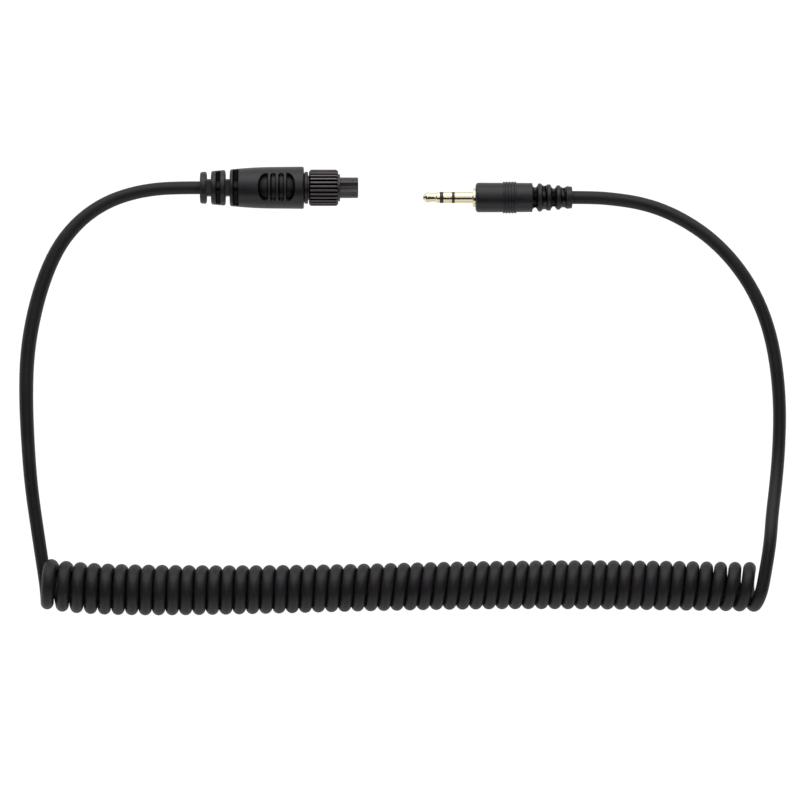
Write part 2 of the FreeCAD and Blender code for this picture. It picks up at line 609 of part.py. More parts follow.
def rims(body, places):
    """Names of the full circles about the plug's axis at these pairs of size names."""
    found = []
    for x, radius in places:
        for index, edge in enumerate(body.Tip.Shape.Edges, start=1):
            curve = edge.Curve
            if not isinstance(curve, Part.Circle) or abs(curve.Radius - size(radius)) > SAME_PLACE:
                continue
            off_axis = math.hypot(curve.Center.y, curve.Center.z)
            if abs(curve.Center.x - size(x)) < SAME_PLACE and off_axis < SAME_PLACE:
                found.append("Edge%d" % index)
    if len(found) < len(places):
        raise RuntimeError("%s has %d of %d rims" % (body.Name, len(found), len(places)))
    return found


def fillet(body, name, places, radius):
    """Rounds rims of the body."""
    base = (body.Tip, rims(body, places))
    feature = body.newObject("PartDesign::Fillet", name)
    feature.Base = base
    bind(feature, "Radius", radius)
    doc.recompute()
    return feature


def rounded_path(points):
    """Straight runs through points, joined at each inner point by a tangent arc.

    An arc takes the same share of the shorter of its two runs. Returns the wire and the radii.
    """
    edges = []
    radii = []
    here = points[0]
    for before, corner, after in zip(points, points[1:], points[2:]):
        back = before - corner
        ahead = after - corner
        reach = CORNER_SHARE * min(back.Length, ahead.Length)
        back.normalize()
        ahead.normalize()
        half_turn = (math.pi - back.getAngle(ahead)) / 2
        radius = reach / math.tan(half_turn)
        bisector = back + ahead
        bisector.normalize()
        start = corner + back * reach
        end = corner + ahead * reach
        middle = corner + bisector * (radius / math.cos(half_turn) - radius)
        edges.append(Part.LineSegment(here, start).toShape())
        edges.append(Part.Arc(start, middle, end).toShape())
        radii.append(radius)
        here = end
    edges.append(Part.LineSegment(here, points[-1]).toShape())
    return Part.Wire(edges), radii


def section(at, along, radius, sides=0):
    """A round section square to a direction, or a polygon drawn in that circle."""
    if not sides:
        return Part.Wire([Part.makeCircle(radius, at, along)])
    across = along.cross(Vector(0, 0, 1))
    across.normalize()
    up = across.cross(along)
    corners = []
    for index in range(sides):
        angle = 2 * math.pi * (index + 0.5) / sides
        corners.append(at + across * (radius * math.cos(angle)) + up * (radius * math.sin(angle)))
    return Part.makePolygon(corners + corners[:1])


def tube(wire, radius, sides=0):
    """Sweeps a section along a wire of lines and arcs into a solid."""
    first = wire.OrderedEdges[0]
    at = first.valueAt(first.FirstParameter)
    along = first.tangentAt(first.FirstParameter)
    return wire.makePipeShell([section(at, along, radius, sides)], True, False)


def curl_point(angle):
    """A point of the coil's centre line. The angle is 0 at the first outer crest."""
    travel = size("curl_pitch") * angle / (2 * math.pi)
    phase = 2 * math.pi * (travel - size("coil_bow_start")) / size("coil_bow_length")
    return Vector(
        size("coil_left") + travel,
        size("coil_y") - size("coil_bow") * math.cos(phase) - size("curl_radius") * math.cos(angle),
        size("coil_height") + size("curl_radius") * math.sin(angle),
    )


def curl_direction(angle):
    step = math.radians(0.01)
    direction = curl_point(angle + step) - curl_point(angle - step)
    direction.normalize()
    return direction


def biarc(start, start_direction, end, end_direction):
    """Two arcs from start to end that share a tangent where they meet."""
    chord = end - start
    both = start_direction + end_direction
    bend = 2 * (1 - start_direction.dot(end_direction))
    lead = (math.sqrt(chord.dot(both) ** 2 + bend * chord.dot(chord)) - chord.dot(both)) / bend
    first_corner = start + start_direction * lead
    second_corner = end - end_direction * lead
    joint = (first_corner + second_corner) * 0.5
    arcs = []
    for here, corner, there in ((start, first_corner, joint), (joint, second_corner, end)):
        back = here - corner
        ahead = there - corner
        reach = back.Length
        back.normalize()
        ahead.normalize()
        half_turn = (math.pi - back.getAngle(ahead)) / 2
        radius = reach / math.tan(half_turn)
        bisector = back + ahead
        bisector.normalize()
        middle = corner + bisector * (radius / math.cos(half_turn) - radius)
        arcs.append(Part.Arc(here, middle, there).toShape())
    return arcs


COIL_START = -math.pi / 2
COIL_END = 2 * math.pi * TURNS + math.pi / 2


def coil_ends():
    """Where the coil's straight ends begin and finish, one cord diameter beyond its turns."""
    stub = size("cord_diameter")
    start = curl_point(COIL_START) - curl_direction(COIL_START) * stub
    end = curl_point(COIL_END) + curl_direction(COIL_END) * stub
    return start, end


def coil_wire():
    start, end = coil_ends()
    edges = [Part.LineSegment(start, curl_point(COIL_START)).toShape()]
    step = 2 * math.pi / (ARCS_PER_TURN / 2)
    spans = round((COIL_END - COIL_START) / step)
    for index in range(spans):
        here = COIL_START + index * step
        there = here + step
        edges += biarc(curl_point(here), curl_direction(here), curl_point(there), curl_direction(there))
    edges.append(Part.LineSegment(curl_point(COIL_END), end).toShape())
    return Part.Wire(edges)


def least_gap():
    """Least air between neighbouring turns, measured between points of the coil's centre line."""
    step = 2 * math.pi / GAP_STEPS
    centres = [curl_point(COIL_START + step * index) for index in range(GAP_STEPS * (TURNS + 1))]
    nearest = math.inf
    for index, centre in enumerate(centres):
        for other in centres[index + GAP_STEPS // 2 : index + 3 * GAP_STEPS // 2]:
            nearest = min(nearest, (centre - other).Length)
    return nearest - size("cord_diameter")


def free_shape(name, shape, plug=None):
    """A node whose shape is made in code, placed in a plug's frame or in the cord's own."""
    feature = doc.addObject("Part::Feature", name)
    feature.Label = name
    feature.Shape = shape
    if plug:
        place(feature, plug)
    nodes[name] = feature
    return feature


def compare_volume(name, shape, wire, radius, sides=0):
    """Prints a tube's volume beside that of its section times its length."""
    area = Part.Face(section(Vector(), Vector(1, 0, 0), radius, sides)).Area
    print("%s: volume %.1f, section times length %.1f" % (name, shape.Volume, area * wire.Length))


def camera_plug_overmould():
    body = new_body("camera_plug_overmould", "camera_plug")
    revolve(
        body,
        "moulding",
        [
            (None, None),
            (None, "relief_tip_radius"),
            ("flange_end", "flange_end_radius"),
            ("flange_end", "relief_core_radius"),
            ("block_start", "relief_core_radius"),
            ("block_start", "block_start_radius"),
            ("block_end", "block_end_radius"),
            ("block_end", "relief_core_radius"),
            ("body_start", "relief_core_radius"),
            ("body_start", "body_start_radius"),
            ("body_window_end", "swell_start_radius"),
            ("swell_end", "swell_end_radius"),
            ("body_end", "grip_radius"),
            ("body_end", "collar_radius"),
            ("collar_end", "collar_radius"),
            ("collar_end", None),
        ],
        crowned=10,
    )
    blocks = [
        (None, "relief_tip_radius"),
        ("flange_end", "flange_end_radius"),
        ("block_start", "block_start_radius"),
        ("block_end", "block_end_radius"),
        ("body_start", "body_start_radius"),
    ]
    fillet(body, "block_rims", blocks, "relief_round")
    fillet(body, "front_rim", [("body_end", "grip_radius")], "body_round")
    fillet(body, "collar_rim", [("collar_end", "collar_radius")], "collar_round")
    webs = sketch_on(body, "webs_outline", "XY_Plane")
    band_outline(webs, "flange_end", "block_start", "web_half")
    band_outline(webs, "block_end", "body_start", "web_half")
    pad(body, "webs", webs, "web_reach")
    windows = sketch_on(body, "windows_outline", "XY_Plane", lift="window_floor")
    band_outline(windows, "block_window_start", "block_window_end", "grip_radius")
    band_outline(windows, "body_window_start", "body_window_end", "grip_radius")
    window_cut = pocket_up(body, "windows", windows)
    mirror(body, "back_windows", [window_cut], "XY_Plane")
    revolve(
        body,
        "cord_sleeve",
        [
            (None, None),
            (None, "relief_core_radius"),
            ("mould_back", "relief_core_radius"),
            ("mould_back", None),
        ],
    )
    grip = sketch_on(body, "grip_outline", "XY_Plane", lift="grip_cut_floor")
    bow_outline(grip, "grip_left_rib", "grip_left", "grip_end_half")
    slot_outline(grip, "pocket_left", "pocket_half", "grip_half_width")
    slot_outline(grip, "pocket_right", "pocket_half", "grip_half_width")
    bow_outline(grip, "grip_right_rib", "grip_right", "grip_end_half")
    grip_cut = pocket_up(body, "grip", grip)
    mirror(body, "back_grip", [grip_cut], "XY_Plane")
    revolve(
        body,
        "grip_floor",
        [
            ("mould_back", None),
            ("mould_back", "grip_floor_radius"),
            ("body_end", "grip_floor_radius"),
            ("body_end", None),
        ],
    )
    revolve(
        body,
        "cavity",
        [
            (None, None),
            (None, "cord_radius"),
            ("mould_back", "cord_radius"),
            ("mould_back", "mould_radius"),
            ("anchor_back", "mould_radius"),
            ("anchor_back", "anchor_radius"),
            ("anchor_front", "anchor_radius"),
            ("anchor_front", "neck_radius"),
            ("collar_end", "neck_radius"),
            ("collar_end", None),
        ],
        cut=True,
    )


def camera_plug_shell():
    body = new_body("camera_plug_shell", "camera_plug")
    revolve(
        body,
        "turning",
        [
            ("anchor_back", "barrel_bore_radius"),
            ("anchor_back", "anchor_radius"),
            ("anchor_front", "anchor_radius"),
            ("anchor_front", "neck_radius"),
            ("stop_start", "neck_radius"),
            ("stop_start", "stop_radius"),
            ("stop_end", "stop_radius"),
            ("stop_end", "barrel_radius"),
            ("barrel_end", "barrel_radius"),
            ("barrel_end", "barrel_bore_radius"),
        ],
    )
    base = (body.Tip, rims(body, [("barrel_end", "barrel_radius")]))
    chamfer = body.newObject("PartDesign::Chamfer", "nose_bevel")
    chamfer.Base = base
    bind(chamfer, "Size", "barrel_bevel")
    doc.recompute()
    key = sketch_on(body, "key_outline", "XY_Plane", lift="key_floor")
    band_outline(key, "stop_end", "barrel_end", "key_half")
    pocket_up(body, "key_slot", key)


def camera_plug_insulator():
    body = new_body("camera_plug_insulator", "camera_plug")
    revolve(
        body,
        "disc",
        [
            ("insert_start", None),
            ("insert_start", "barrel_bore_radius"),
            ("insert_end", "barrel_bore_radius"),
            ("insert_end", None),
        ],
    )
    hole = sketch_on(body, "pin_hole_outline", "YZ_Plane", lift="insert_start")
    pin_circle(hole, "pin_radius")
    holes = pocket_up(body, "pin_hole", hole)
    polar(body, "pin_holes", [holes], "pin_count")


def pin_circle(sketch, radius):
    """A circle on the pins' circle, straight above the plug's axis."""
    circle = Part.Circle(Vector(0, size("pin_circle"), 0), Vector(0, 0, 1), size(radius))
    edge = sketch.addGeometry(circle, False)
    sketch.addConstraint(Sketcher.Constraint("PointOnObject", edge, 3, -2))
    measure(sketch, "DistanceY", edge, 3, "pin_circle")
    index = sketch.addConstraint(Sketcher.Constraint("Radius", edge, size(radius)))
    bind(sketch, "Constraints[%d]" % index, radius)


def contact_pins():
    body = new_body("contact_pins", "camera_plug")
    body.AllowCompound = True
    cup_sketch = sketch_on(body, "cup_outline", "YZ_Plane", lift="cup_start")
    pin_circle(cup_sketch, "cup_radius")
    cup = pad(body, "cup", cup_sketch, "Sizes.cup_length", both_ways=False)
    pin_sketch = sketch_on(body, "pin_outline", "YZ_Plane", lift="insert_start")
    pin_circle(pin_sketch, "pin_radius")
    pin = pad(body, "pin", pin_sketch, "Sizes.pin_end - Sizes.insert_start", both_ways=False)
    polar(body, "pins", [cup, pin], "pin_count")


def locking_ring():
    body = new_body("locking_ring", "camera_plug")
    revolve(
        body,
        "blank",
        [
            ("ring_back", "ring_bore_radius"),
            ("ring_back", "ring_bevel_radius"),
            ("ring_bevel_back", "ring_radius"),
            ("ring_bevel_front", "ring_radius"),
            ("ring_front", "ring_bevel_radius"),
            ("ring_front", "thread_radius"),
            ("ring_web_front", "thread_radius"),
            ("ring_web_front", "ring_bore_radius"),
            ("clip_groove_end", "ring_bore_radius"),
            ("clip_groove_end", "clip_groove_radius"),
            ("clip_groove_start", "clip_groove_radius"),
            ("clip_groove_start", "ring_bore_radius"),
        ],
    )
    notch = sketch_on(body, "notch_outline", "YZ_Plane", lift="ring_back")
    root, top, side = size("knurl_root"), size("knurl_top"), size("knurl_top_half")
    corners = [Vector(0, root, 0), Vector(side, top, 0), Vector(-side, top, 0)]
    for index in range(3):
        notch.addGeometry(Part.LineSegment(corners[index], corners[(index + 1) % 3]), False)
    for index in range(3):
        notch.addConstraint(Sketcher.Constraint("Coincident", index, 2, (index + 1) % 3, 1))
    notch.addConstraint(Sketcher.Constraint("Symmetric", 1, 1, 1, 2, -2))
    measure(notch, "DistanceX", 0, 1, None)
    measure(notch, "DistanceY", 0, 1, "knurl_root")
    measure(notch, "DistanceX", 1, 1, "knurl_top_half")
    measure(notch, "DistanceY", 1, 1, "knurl_top")
    cut = pocket_up(body, "notch", notch)
    polar(body, "knurl", [cut], "knurl_count")


def ring_friction_clip():
    body = new_body("ring_friction_clip", "camera_plug")
    revolve(
        body,
        "hoop",
        [
            ("clip_start", "ring_bore_radius"),
            ("clip_start", "clip_radius"),
            ("clip_end", "clip_radius"),
            ("clip_end", "ring_bore_radius"),
        ],
    )
    gap = sketch_on(body, "gap_outline", "XY_Plane")
    band_outline(gap, "clip_start", "clip_end", "clip_opening")
    pocket_up(body, "gap", gap)


def plain_tube(name, plug, start, end, inner, outer, turn=0):
    body = new_body(name, plug, turn)
    revolve(body, "sleeve", [(start, inner), (start, outer), (end, outer), (end, inner)])
    return body


def wire_path(start, end):
    """An S-shaped wire between two parallel ends."""
    reach = (end.x - start.x) * WIRE_EASE
    return rounded_path([start, start + Vector(reach, 0, 0), end - Vector(reach, 0, 0), end])[0]


def camera_plug_wires():
    """One wire from the cord's end to each pin's solder end."""
    count = int(size("pin_count"))
    start = Vector(size("cord_end"), 0, size("wire_lay"))
    end = Vector(size("cup_start"), 0, size("pin_circle"))
    wire = tube(wire_path(start, end), size("wire_radius"))
    wires = []
    for index in range(count):
        copy = wire.copy()
        copy.rotate(Vector(), Vector(1, 0, 0), 360 * index / count)
        wires.append(copy)
    free_shape("camera_plug_wires", Part.makeCompound(wires), "camera_plug")


def moulded_round(name, plug, blank_corners, inserts):
    """A moulding cast round other pieces: its blank less those pieces."""
    blank = new_body(name + "_blank", plug)
    del nodes[name + "_blank"]
    revolve(blank, "casting", blank_corners)
    tools = doc.addObject("Part::Compound", name + "_inserts")
    tools.Links = [nodes[insert] for insert in inserts]
    moulding = doc.addObject("Part::Cut", name)
    moulding.Label = name
    moulding.Base = blank
    moulding.Tool = tools
    nodes[name] = moulding
    doc.recompute()


def camera_plug():
    camera_plug_overmould()
    camera_plug_shell()
    camera_plug_insulator()
    contact_pins()
    locking_ring()
    ring_friction_clip()
    plain_tube("camera_plug_crimp", "camera_plug", "crimp_start", "cord_end", "cord_radius", "crimp_radius")
    plain_tube("camera_plug_cord_end", "camera_plug", None, "cord_end", None, "cord_radius")
    camera_plug_wires()
    moulded_round(
        "camera_plug_inner_mould",
        "camera_plug",
        [
            ("mould_back", None),
            ("mould_back", "mould_radius"),
            ("anchor_back", "mould_radius"),
            ("anchor_back", "barrel_bore_radius"),
            ("insert_start", "barrel_bore_radius"),
            ("insert_start", None),
        ],
        ["camera_plug_wires", "contact_pins", "camera_plug_crimp", "camera_plug_cord_end"],
    )


def jack_contacts():
    tip = new_body("jack_tip", "jack")
    revolve(
        tip,
        "turning",
        [
            (None, None),
            (None, "nose_radius"),
            ("tip_head", "tip_head_radius"),
            ("tip_waist", "tip_waist_radius"),
            ("tip_waist_end", "tip_waist_radius"),
            ("tip_shoulder", "tip_shoulder_radius"),
            ("tip_shoulder_end", "tip_shoulder_end_radius"),
            ("tip_end", "tip_end_radius"),
            ("tip_end", "tip_rod_radius"),
            ("rod_end", "tip_rod_radius"),
            ("rod_end", None),
        ],
    )
    fillet(tip, "nose", [(None, "nose_radius")], "nose_radius")
    stepped = [
        (
            "jack_tip_insulator",
            ("tip_end", "inner_insulator_end", "tip_lug_start"),
            ("tip_rod_radius", "jack_radius", "inner_tube_radius"),
        ),
        (
            "jack_ring_contact",
            ("inner_insulator_end", "ring_contact_end", "ring_lug_end"),
            ("inner_tube_radius", "jack_radius", "ring_tube_radius"),
        ),
        (
            "jack_ring_insulator",
            ("ring_contact_end", "outer_insulator_end", "boss_end"),
            ("ring_tube_radius", "jack_radius", "outer_tube_radius"),
        ),
    ]
    for name, (start, step, end), (bore, head, stem) in stepped:
        body = new_body(name, "jack")
        corners = [(start, bore), (start, head), (step, head), (step, stem), (end, stem), (end, bore)]
        revolve(body, "turning", corners)
    sleeve = new_body("jack_sleeve", "jack")
    revolve(
        sleeve,
        "turning",
        [
            ("outer_insulator_end", "outer_tube_radius"),
            ("outer_insulator_end", "jack_radius"),
            ("jack_contact_length", "jack_radius"),
            ("jack_contact_length", "jack_flange_radius"),
            ("jack_flange_end", "jack_flange_radius"),
            ("jack_flange_end", "boss_radius"),
            ("boss_end", "boss_radius"),
            ("boss_end", "outer_tube_radius"),
        ],
    )
    plain_tube("jack_rear_insulator", "jack", "boss_end", "washer_end", "ring_tube_radius", "washer_radius")


def tab(body, start, end, inner, outer, half):
    """A flat strip beside the axis, from start to end."""
    sketch = sketch_on(body, "tab_outline_" + end, "XY_Plane")
    outline(sketch, [(start, inner), (start, outer), (end, outer), (end, inner)])
    pad(body, "tab_" + end, sketch, half)


def jack_lugs():
    ring_lug = plain_tube(
        "jack_ring_lug", "jack", "washer_end", "ring_lug_end", "ring_tube_radius", "ring_lug_radius"
    )
    tab(ring_lug, "washer_end", "ring_tab_end", "ring_tab_inner", "ring_lug_radius", "lug_half")
    tip_span = ("tip_lug_start", "tip_lug_end")
    tip_lug = plain_tube("jack_tip_lug", "jack", *tip_span, "tip_rod_radius", "tip_lug_radius", turn=180)
    tab(tip_lug, "tip_lug_start", "tip_tab_end", "tip_tab_inner", "tip_lug_radius", "lug_half")
    washer_span = ("clamp_washer_start", "boss_end")
    clamp = plain_tube("jack_cable_clamp", "jack", *washer_span, "boss_radius", "tongue_outer", turn=-90)
    tab(clamp, "clamp_washer_start", "clamp_end", "tongue_inner", "tongue_outer", "lug_half")
    tab(clamp, "tag_start", "ring_tab_end", "tag_inner", "tongue_outer", "wire_radius")
    tab(clamp, "clamp_start", "clamp_end", "cord_radius", "tongue_outer", "lug_half")
    revolve(
        clamp,
        "clasp",
        [
            ("clamp_start", "cord_radius"),
            ("clamp_start", "clamp_ring_radius"),
            ("clamp_end", "clamp_ring_radius"),
            ("clamp_end", "cord_radius"),
        ],
    )


def jack_wires():
    """Wires from the cord's end to the two lugs and to the clamp's soldering tag."""
    start = size("jack_cord_start")
    lay = size("wire_lay")
    ring_side = size("ring_lug_radius") - size("lug_thick") / 2
    tip_side = size("tip_lug_radius") - size("lug_thick") / 2
    ends = [
        (Vector(size("ring_tab_end"), ring_side, 0), Vector(start, lay, 0)),
        (Vector(size("tip_tab_end"), -tip_side, 0), Vector(start, -lay, 0)),
        (Vector(size("ring_tab_end"), 0, -size("ground_side")), Vector(start, 0, -lay)),
    ]
    wires = [tube(wire_path(near, far), size("wire_radius")) for near, far in ends]
    free_shape("jack_wires", Part.makeCompound(wires), "jack")


def jack_overmould():
    body = new_body("jack_overmould", "jack")
    revolve(
        body,
        "moulding",
        [
            ("jack_flange_end", None),
            ("jack_flange_end", "jack_front_radius"),
            ("band_start", "jack_mid_radius"),
            ("band_start", "band_radius"),
            ("band_end", "band_radius"),
            ("band_end", "jack_rear_radius"),
            ("jack_body_end", "jack_rear_radius"),
            ("jack_body_end", "jack_core_radius"),
            ("fin_one", "jack_core_radius"),
            ("fin_one", "fin_one_radius"),
            ("fin_one_end", "fin_one_end_radius"),
            ("fin_one_end", "valley_one_radius"),
            ("fin_two", "valley_one_radius"),
            ("fin_two", "fin_two_radius"),
            ("fin_two_end", "fin_two_end_radius"),
            ("fin_two_end", "jack_core_radius"),
            ("fin_three", "jack_core_radius"),
            ("fin_three", "fin_three_radius"),
            ("fin_three_end", "fin_three_end_radius"),
            ("fin_three_end", "valley_two_radius"),
            ("end_block", "valley_two_radius"),
            ("end_block", "end_block_radius"),
            ("jack_length", "exit_radius"),
            ("jack_length", None),
        ],
    )
    fins = [
        ("fin_one", "fin_one_radius"),
        ("fin_one_end", "fin_one_end_radius"),
        ("fin_two", "fin_two_radius"),
        ("fin_two_end", "fin_two_end_radius"),
        ("fin_three", "fin_three_radius"),
        ("fin_three_end", "fin_three_end_radius"),
        ("end_block", "end_block_radius"),
        ("jack_length", "exit_radius"),
    ]
    fillet(body, "fin_rims", fins, "fin_round")
    fillet(body, "front_rim", [("jack_flange_end", "jack_front_radius")], "jack_front_round")
    band = [("band_start", "band_radius"), ("band_end", "band_radius")]
    fillet(body, "band_rims", band, "band_round")
    groove = revolve(
        body,
        "band_groove",
        [
            ("band_groove_start", "band_groove_floor"),
            ("band_groove_start", "band_over"),
            ("band_groove_end", "band_over"),
            ("band_groove_end", "band_groove_floor"),
        ],
        cut=True,
    )
    grooves = body.newObject("PartDesign::LinearPattern", "band_grooves")
    grooves.Originals = [groove]
    axis = next(item for item in body.Origin.OriginFeatures if item.Role == "X_Axis")
    grooves.Direction = (axis, [""])
    grooves.Mode = "Spacing"
    grooves.setExpression("Offset", "Sizes.rib_pitch")
    grooves.setExpression("Occurrences", "Sizes.band_ribs - 1")
    body.Tip = grooves
    doc.recompute()
    windows = sketch_on(body, "windows_outline", "XY_Plane", lift="fin_window_floor")
    band_outline(windows, "fin_window_start", "fin_window_end", "fin_window_half")
    band_outline(windows, "end_window_start", "end_window_end", "end_window_half")
    window_cut = pocket_up(body, "windows", windows)
    mirror(body, "back_windows", [window_cut], "XY_Plane")
    for name, start, end, reach in (
        ("front_struts", "jack_body_end", "fin_one", "strut_one_reach"),
        ("rear_struts", "fin_two_end", "fin_three", "strut_two_reach"),
    ):
        sketch = sketch_on(body, name + "_outline", "YZ_Plane", lift=start, turn=45)
        strut_outline(sketch, "strut_half", reach)
        strut = pad(body, name, sketch, "Sizes.%s - Sizes.%s" % (end, start), both_ways=False)
        polar(body, name + "_crossed", [strut], 2, angle=90)
    revolve(
        body,
        "cord_sleeve",
        [
            ("jack_body_end", None),
            ("jack_body_end", "relief_core_radius"),
            ("jack_length", "relief_core_radius"),
            ("jack_length", None),
        ],
    )
    revolve(
        body,
        "cavity",
        [
            ("jack_flange_end", None),
            ("jack_flange_end", "boss_radius"),
            ("jack_mould_front", "boss_radius"),
            ("jack_mould_front", "jack_mould_radius"),
            ("jack_mould_back", "jack_mould_radius"),
            ("jack_mould_back", "cord_radius"),
            ("jack_length", "cord_radius"),
            ("jack_length", None),
        ],
        cut=True,
    )


def strut_outline(sketch, half, reach):
    """A narrow rectangle centred on the plug's axis."""
    side, far = size(half), size(reach)
    corners = [(-far, -side), (far, -side), (far, side), (-far, side)]
    for index in range(4):
        here = Vector(*corners[index], 0)
        there = Vector(*corners[(index + 1) % 4], 0)
        sketch.addGeometry(Part.LineSegment(here, there), False)
    for index in range(4):
        sketch.addConstraint(Sketcher.Constraint("Coincident", index, 2, (index + 1) % 4, 1))
    sketch.addConstraint(Sketcher.Constraint("Symmetric", 0, 1, 2, 1, -1, 1))
    sketch.addConstraint(Sketcher.Constraint("Horizontal", 0))
    sketch.addConstraint(Sketcher.Constraint("Vertical", 1))
    sketch.addConstraint(Sketcher.Constraint("Horizontal", 2))
    sketch.addConstraint(Sketcher.Constraint("Vertical", 3))
    measure(sketch, "DistanceX", 2, 1, reach)
    measure(sketch, "DistanceY", 2, 1, half)


def jack():
    jack_contacts()
    jack_lugs()
    plain_tube("jack_cord_end", "jack", "jack_cord_start", "jack_length", None, "cord_radius")
    jack_wires()
    moulded_round(
        "jack_inner_mould",
        "jack",
        [
            ("jack_mould_front", None),
            ("jack_mould_front", "jack_mould_radius"),
            ("jack_mould_back", "jack_mould_radius"),
            ("jack_mould_back", None),
        ],
        [
            "jack_tip",
            "jack_tip_insulator",
            "jack_ring_contact",
            "jack_ring_insulator",
            "jack_sleeve",
            "jack_rear_insulator",
            "jack_ring_lug",
            "jack_tip_lug",
            "jack_cable_clamp",
            "jack_cord_end",
            "jack_wires",
        ],
    )
    jack_overmould()


def cord():
    """The two free leads and the coil between them."""
    radius = size("cord_radius")
    camera_exit = Vector(size("camera_plug_x"), size("camera_plug_y"), size("camera_plug_z"))
    jack_exit = Vector(size("jack_x") + size("jack_length"), size("jack_y"), size("jack_z"))
    coil_start, coil_end = coil_ends()
    start_away = -curl_direction(COIL_START)
    end_away = curl_direction(COIL_END)
    leads = (
        ("lead_camera_end", camera_exit, Vector(-1, 0, 0), CAMERA_LEAD, coil_start, start_away),
        ("lead_jack_end", jack_exit, Vector(1, 0, 0), JACK_LEAD, coil_end, end_away),
    )
    for name, start, way_out, route, end, away in leads:
        points = [start, start + way_out * size("exit_run")]
        points += [Vector(*point) for point in route]
        points += [end + away * size("coil_run"), end]
        wire, radii = rounded_path(points)
        lead = tube(wire, radius, SECTION_SIDES)
        free_shape(name, lead)
        runs = [(after - before).Length for before, after in zip(points, points[1:])]
        print("%s: length %.1f, radii" % (name, wire.Length), [round(value, 1) for value in radii])
        print("%s: runs" % name, [round(run, 1) for run in runs])
        compare_volume(name, lead, wire, radius, SECTION_SIDES)
    wire = coil_wire()
    coil = tube(wire, radius, SECTION_SIDES)
    free_shape("coil", coil)
    print("coil: %d turns and a half, length %.1f" % (TURNS, wire.Length))
    print("coil: least gap to itself %.3f" % least_gap())
    compare_volume("coil", coil, wire, radius, SECTION_SIDES)


def check():
    """Every object has to be computed and every node a valid solid or set of solids."""
    doc.recompute()
    for item in doc.Objects:
        if "Invalid" in item.State or "Error" in item.State:
            raise RuntimeError("%s failed: %s" % (item.Name, item.State))
    for name, item in nodes.items():
        shape = item.Shape
        if shape.isNull() or not shape.isValid() or not shape.Solids:
            raise RuntimeError("%s has no valid solid" % name)


def export():
    os.makedirs("parts", exist_ok=True)
    for name, item in nodes.items():
        item.Shape.exportStep("parts/%s.step" % name)
        print("%s: %d solid(s), volume %.2f" % (name, len(item.Shape.Solids), item.Shape.Volume))


camera_plug()
jack()
cord()
check()
export()
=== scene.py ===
"""Looks of a coiled electric release cord: camera plug with its screw ring, coiled lead and jack.

Profiles are written in millimetres in each plug's own frame, and become metres where they are put
into a mesh. x runs along the plug's axis, from the camera plug's cord exit or from the jack's tip.
"""

import math

import bpy
import numpy as np
from bpy.props import FloatProperty, FloatVectorProperty, IntProperty, PointerProperty
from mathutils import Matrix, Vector


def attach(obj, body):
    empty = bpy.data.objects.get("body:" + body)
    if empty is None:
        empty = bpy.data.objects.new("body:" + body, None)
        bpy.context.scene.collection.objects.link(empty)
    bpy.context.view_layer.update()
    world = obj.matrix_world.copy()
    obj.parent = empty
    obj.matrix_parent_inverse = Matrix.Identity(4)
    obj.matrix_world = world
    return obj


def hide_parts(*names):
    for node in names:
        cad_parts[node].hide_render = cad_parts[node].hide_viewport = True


bl_info = {
    "name": "Coiled release cord",
    "version": (1, 0, 0),
    "blender": (4, 5, 0),
    "location": "View3D > Sidebar > Release Cord",
    "description": "Builds the visible surfaces of a coiled release cord round its packed solids",
    "category": "Object",
}

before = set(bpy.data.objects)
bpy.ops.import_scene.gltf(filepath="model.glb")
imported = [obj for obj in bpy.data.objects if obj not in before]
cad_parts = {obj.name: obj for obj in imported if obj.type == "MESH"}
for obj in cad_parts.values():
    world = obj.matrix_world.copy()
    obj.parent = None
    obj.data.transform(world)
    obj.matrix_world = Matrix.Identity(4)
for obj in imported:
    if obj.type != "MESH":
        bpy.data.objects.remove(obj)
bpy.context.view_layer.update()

MM = 0.001

# Where each plug's own frame stands, and the jack's length to its cord exit, in millimetres.
CAMERA_PLUG_AT = (-40.93, 0.475, 4.65)
JACK_AT = (8.01, -1.625, 3.5)
JACK_LENGTH = 32.92

# What two pieces of a plug share: the shell's anchor flange and neck in the camera plug, the ends of
# the locking ring, and the back of the jack's flange with the radius of the tube behind it.
FLANGE_START, FLANGE_END, FLANGE_RADIUS = 19.6, 20.7, 3.4
NECK_RADIUS = 2.7
RING_START, RING_END = 23.95, 30.35
SLEEVE_BACK, SLEEVE_RADIUS = 11.64, 1.6

# Control points of the two free leads between the plugs' exits and the coil.
CAMERA_LEAD = [
    (-50.8, 0.24, 3.9),
    (-56.3, -0.69, 2.5),
    (-61.92, -2.66, 1.5),
    (-67.32, -6.28, 1.25),
    (-71.97, -11.69, 1.25),
    (-75.29, -18.72, 1.25),
    (-77.73, -27.05, 1.25),
    (-79.23, -36.0, 1.25),
    (-79.5, -45.4, 1.25),
    (-79.1, -55.2, 1.25),
    (-78.35, -65.4, 1.25),
    (-76.7, -76.6, 1.25),
]
JACK_LEAD = [
    (49.9, -1.94, 2.9),
    (55.4, -2.66, 1.9),
    (60.94, -4.25, 1.3),
    (66.53, -7.01, 1.25),
    (71.9, -10.8, 1.25),
    (76.95, -15.99, 1.25),
    (81.18, -22.36, 1.25),
    (84.22, -29.7, 1.25),
    (86.03, -38.05, 1.25),
    (86.84, -47.4, 1.25),
    (86.63, -56.4, 1.4),
    (85.84, -64.4, 3.3),
    (84.72, -71.7, 6.6),
    (84.15, -77.6, 9.3),
]
SOLID_CORD_RADIUS = 1.25
EXIT_RUN = 4.6
# The curve stops a little short of its last point, which is set this far into the moulding.
END_TUCK = 0.13
CURLS = 53
POINTS_PER_CURL = 12

# Longest step round a rounded corner, and the angle from which an edge is a crease.
ARC_STEP = math.radians(18)
CREASE = math.radians(34)
# How far a test on a profile's points reaches past the corner that it is about.
SLACK = 0.01
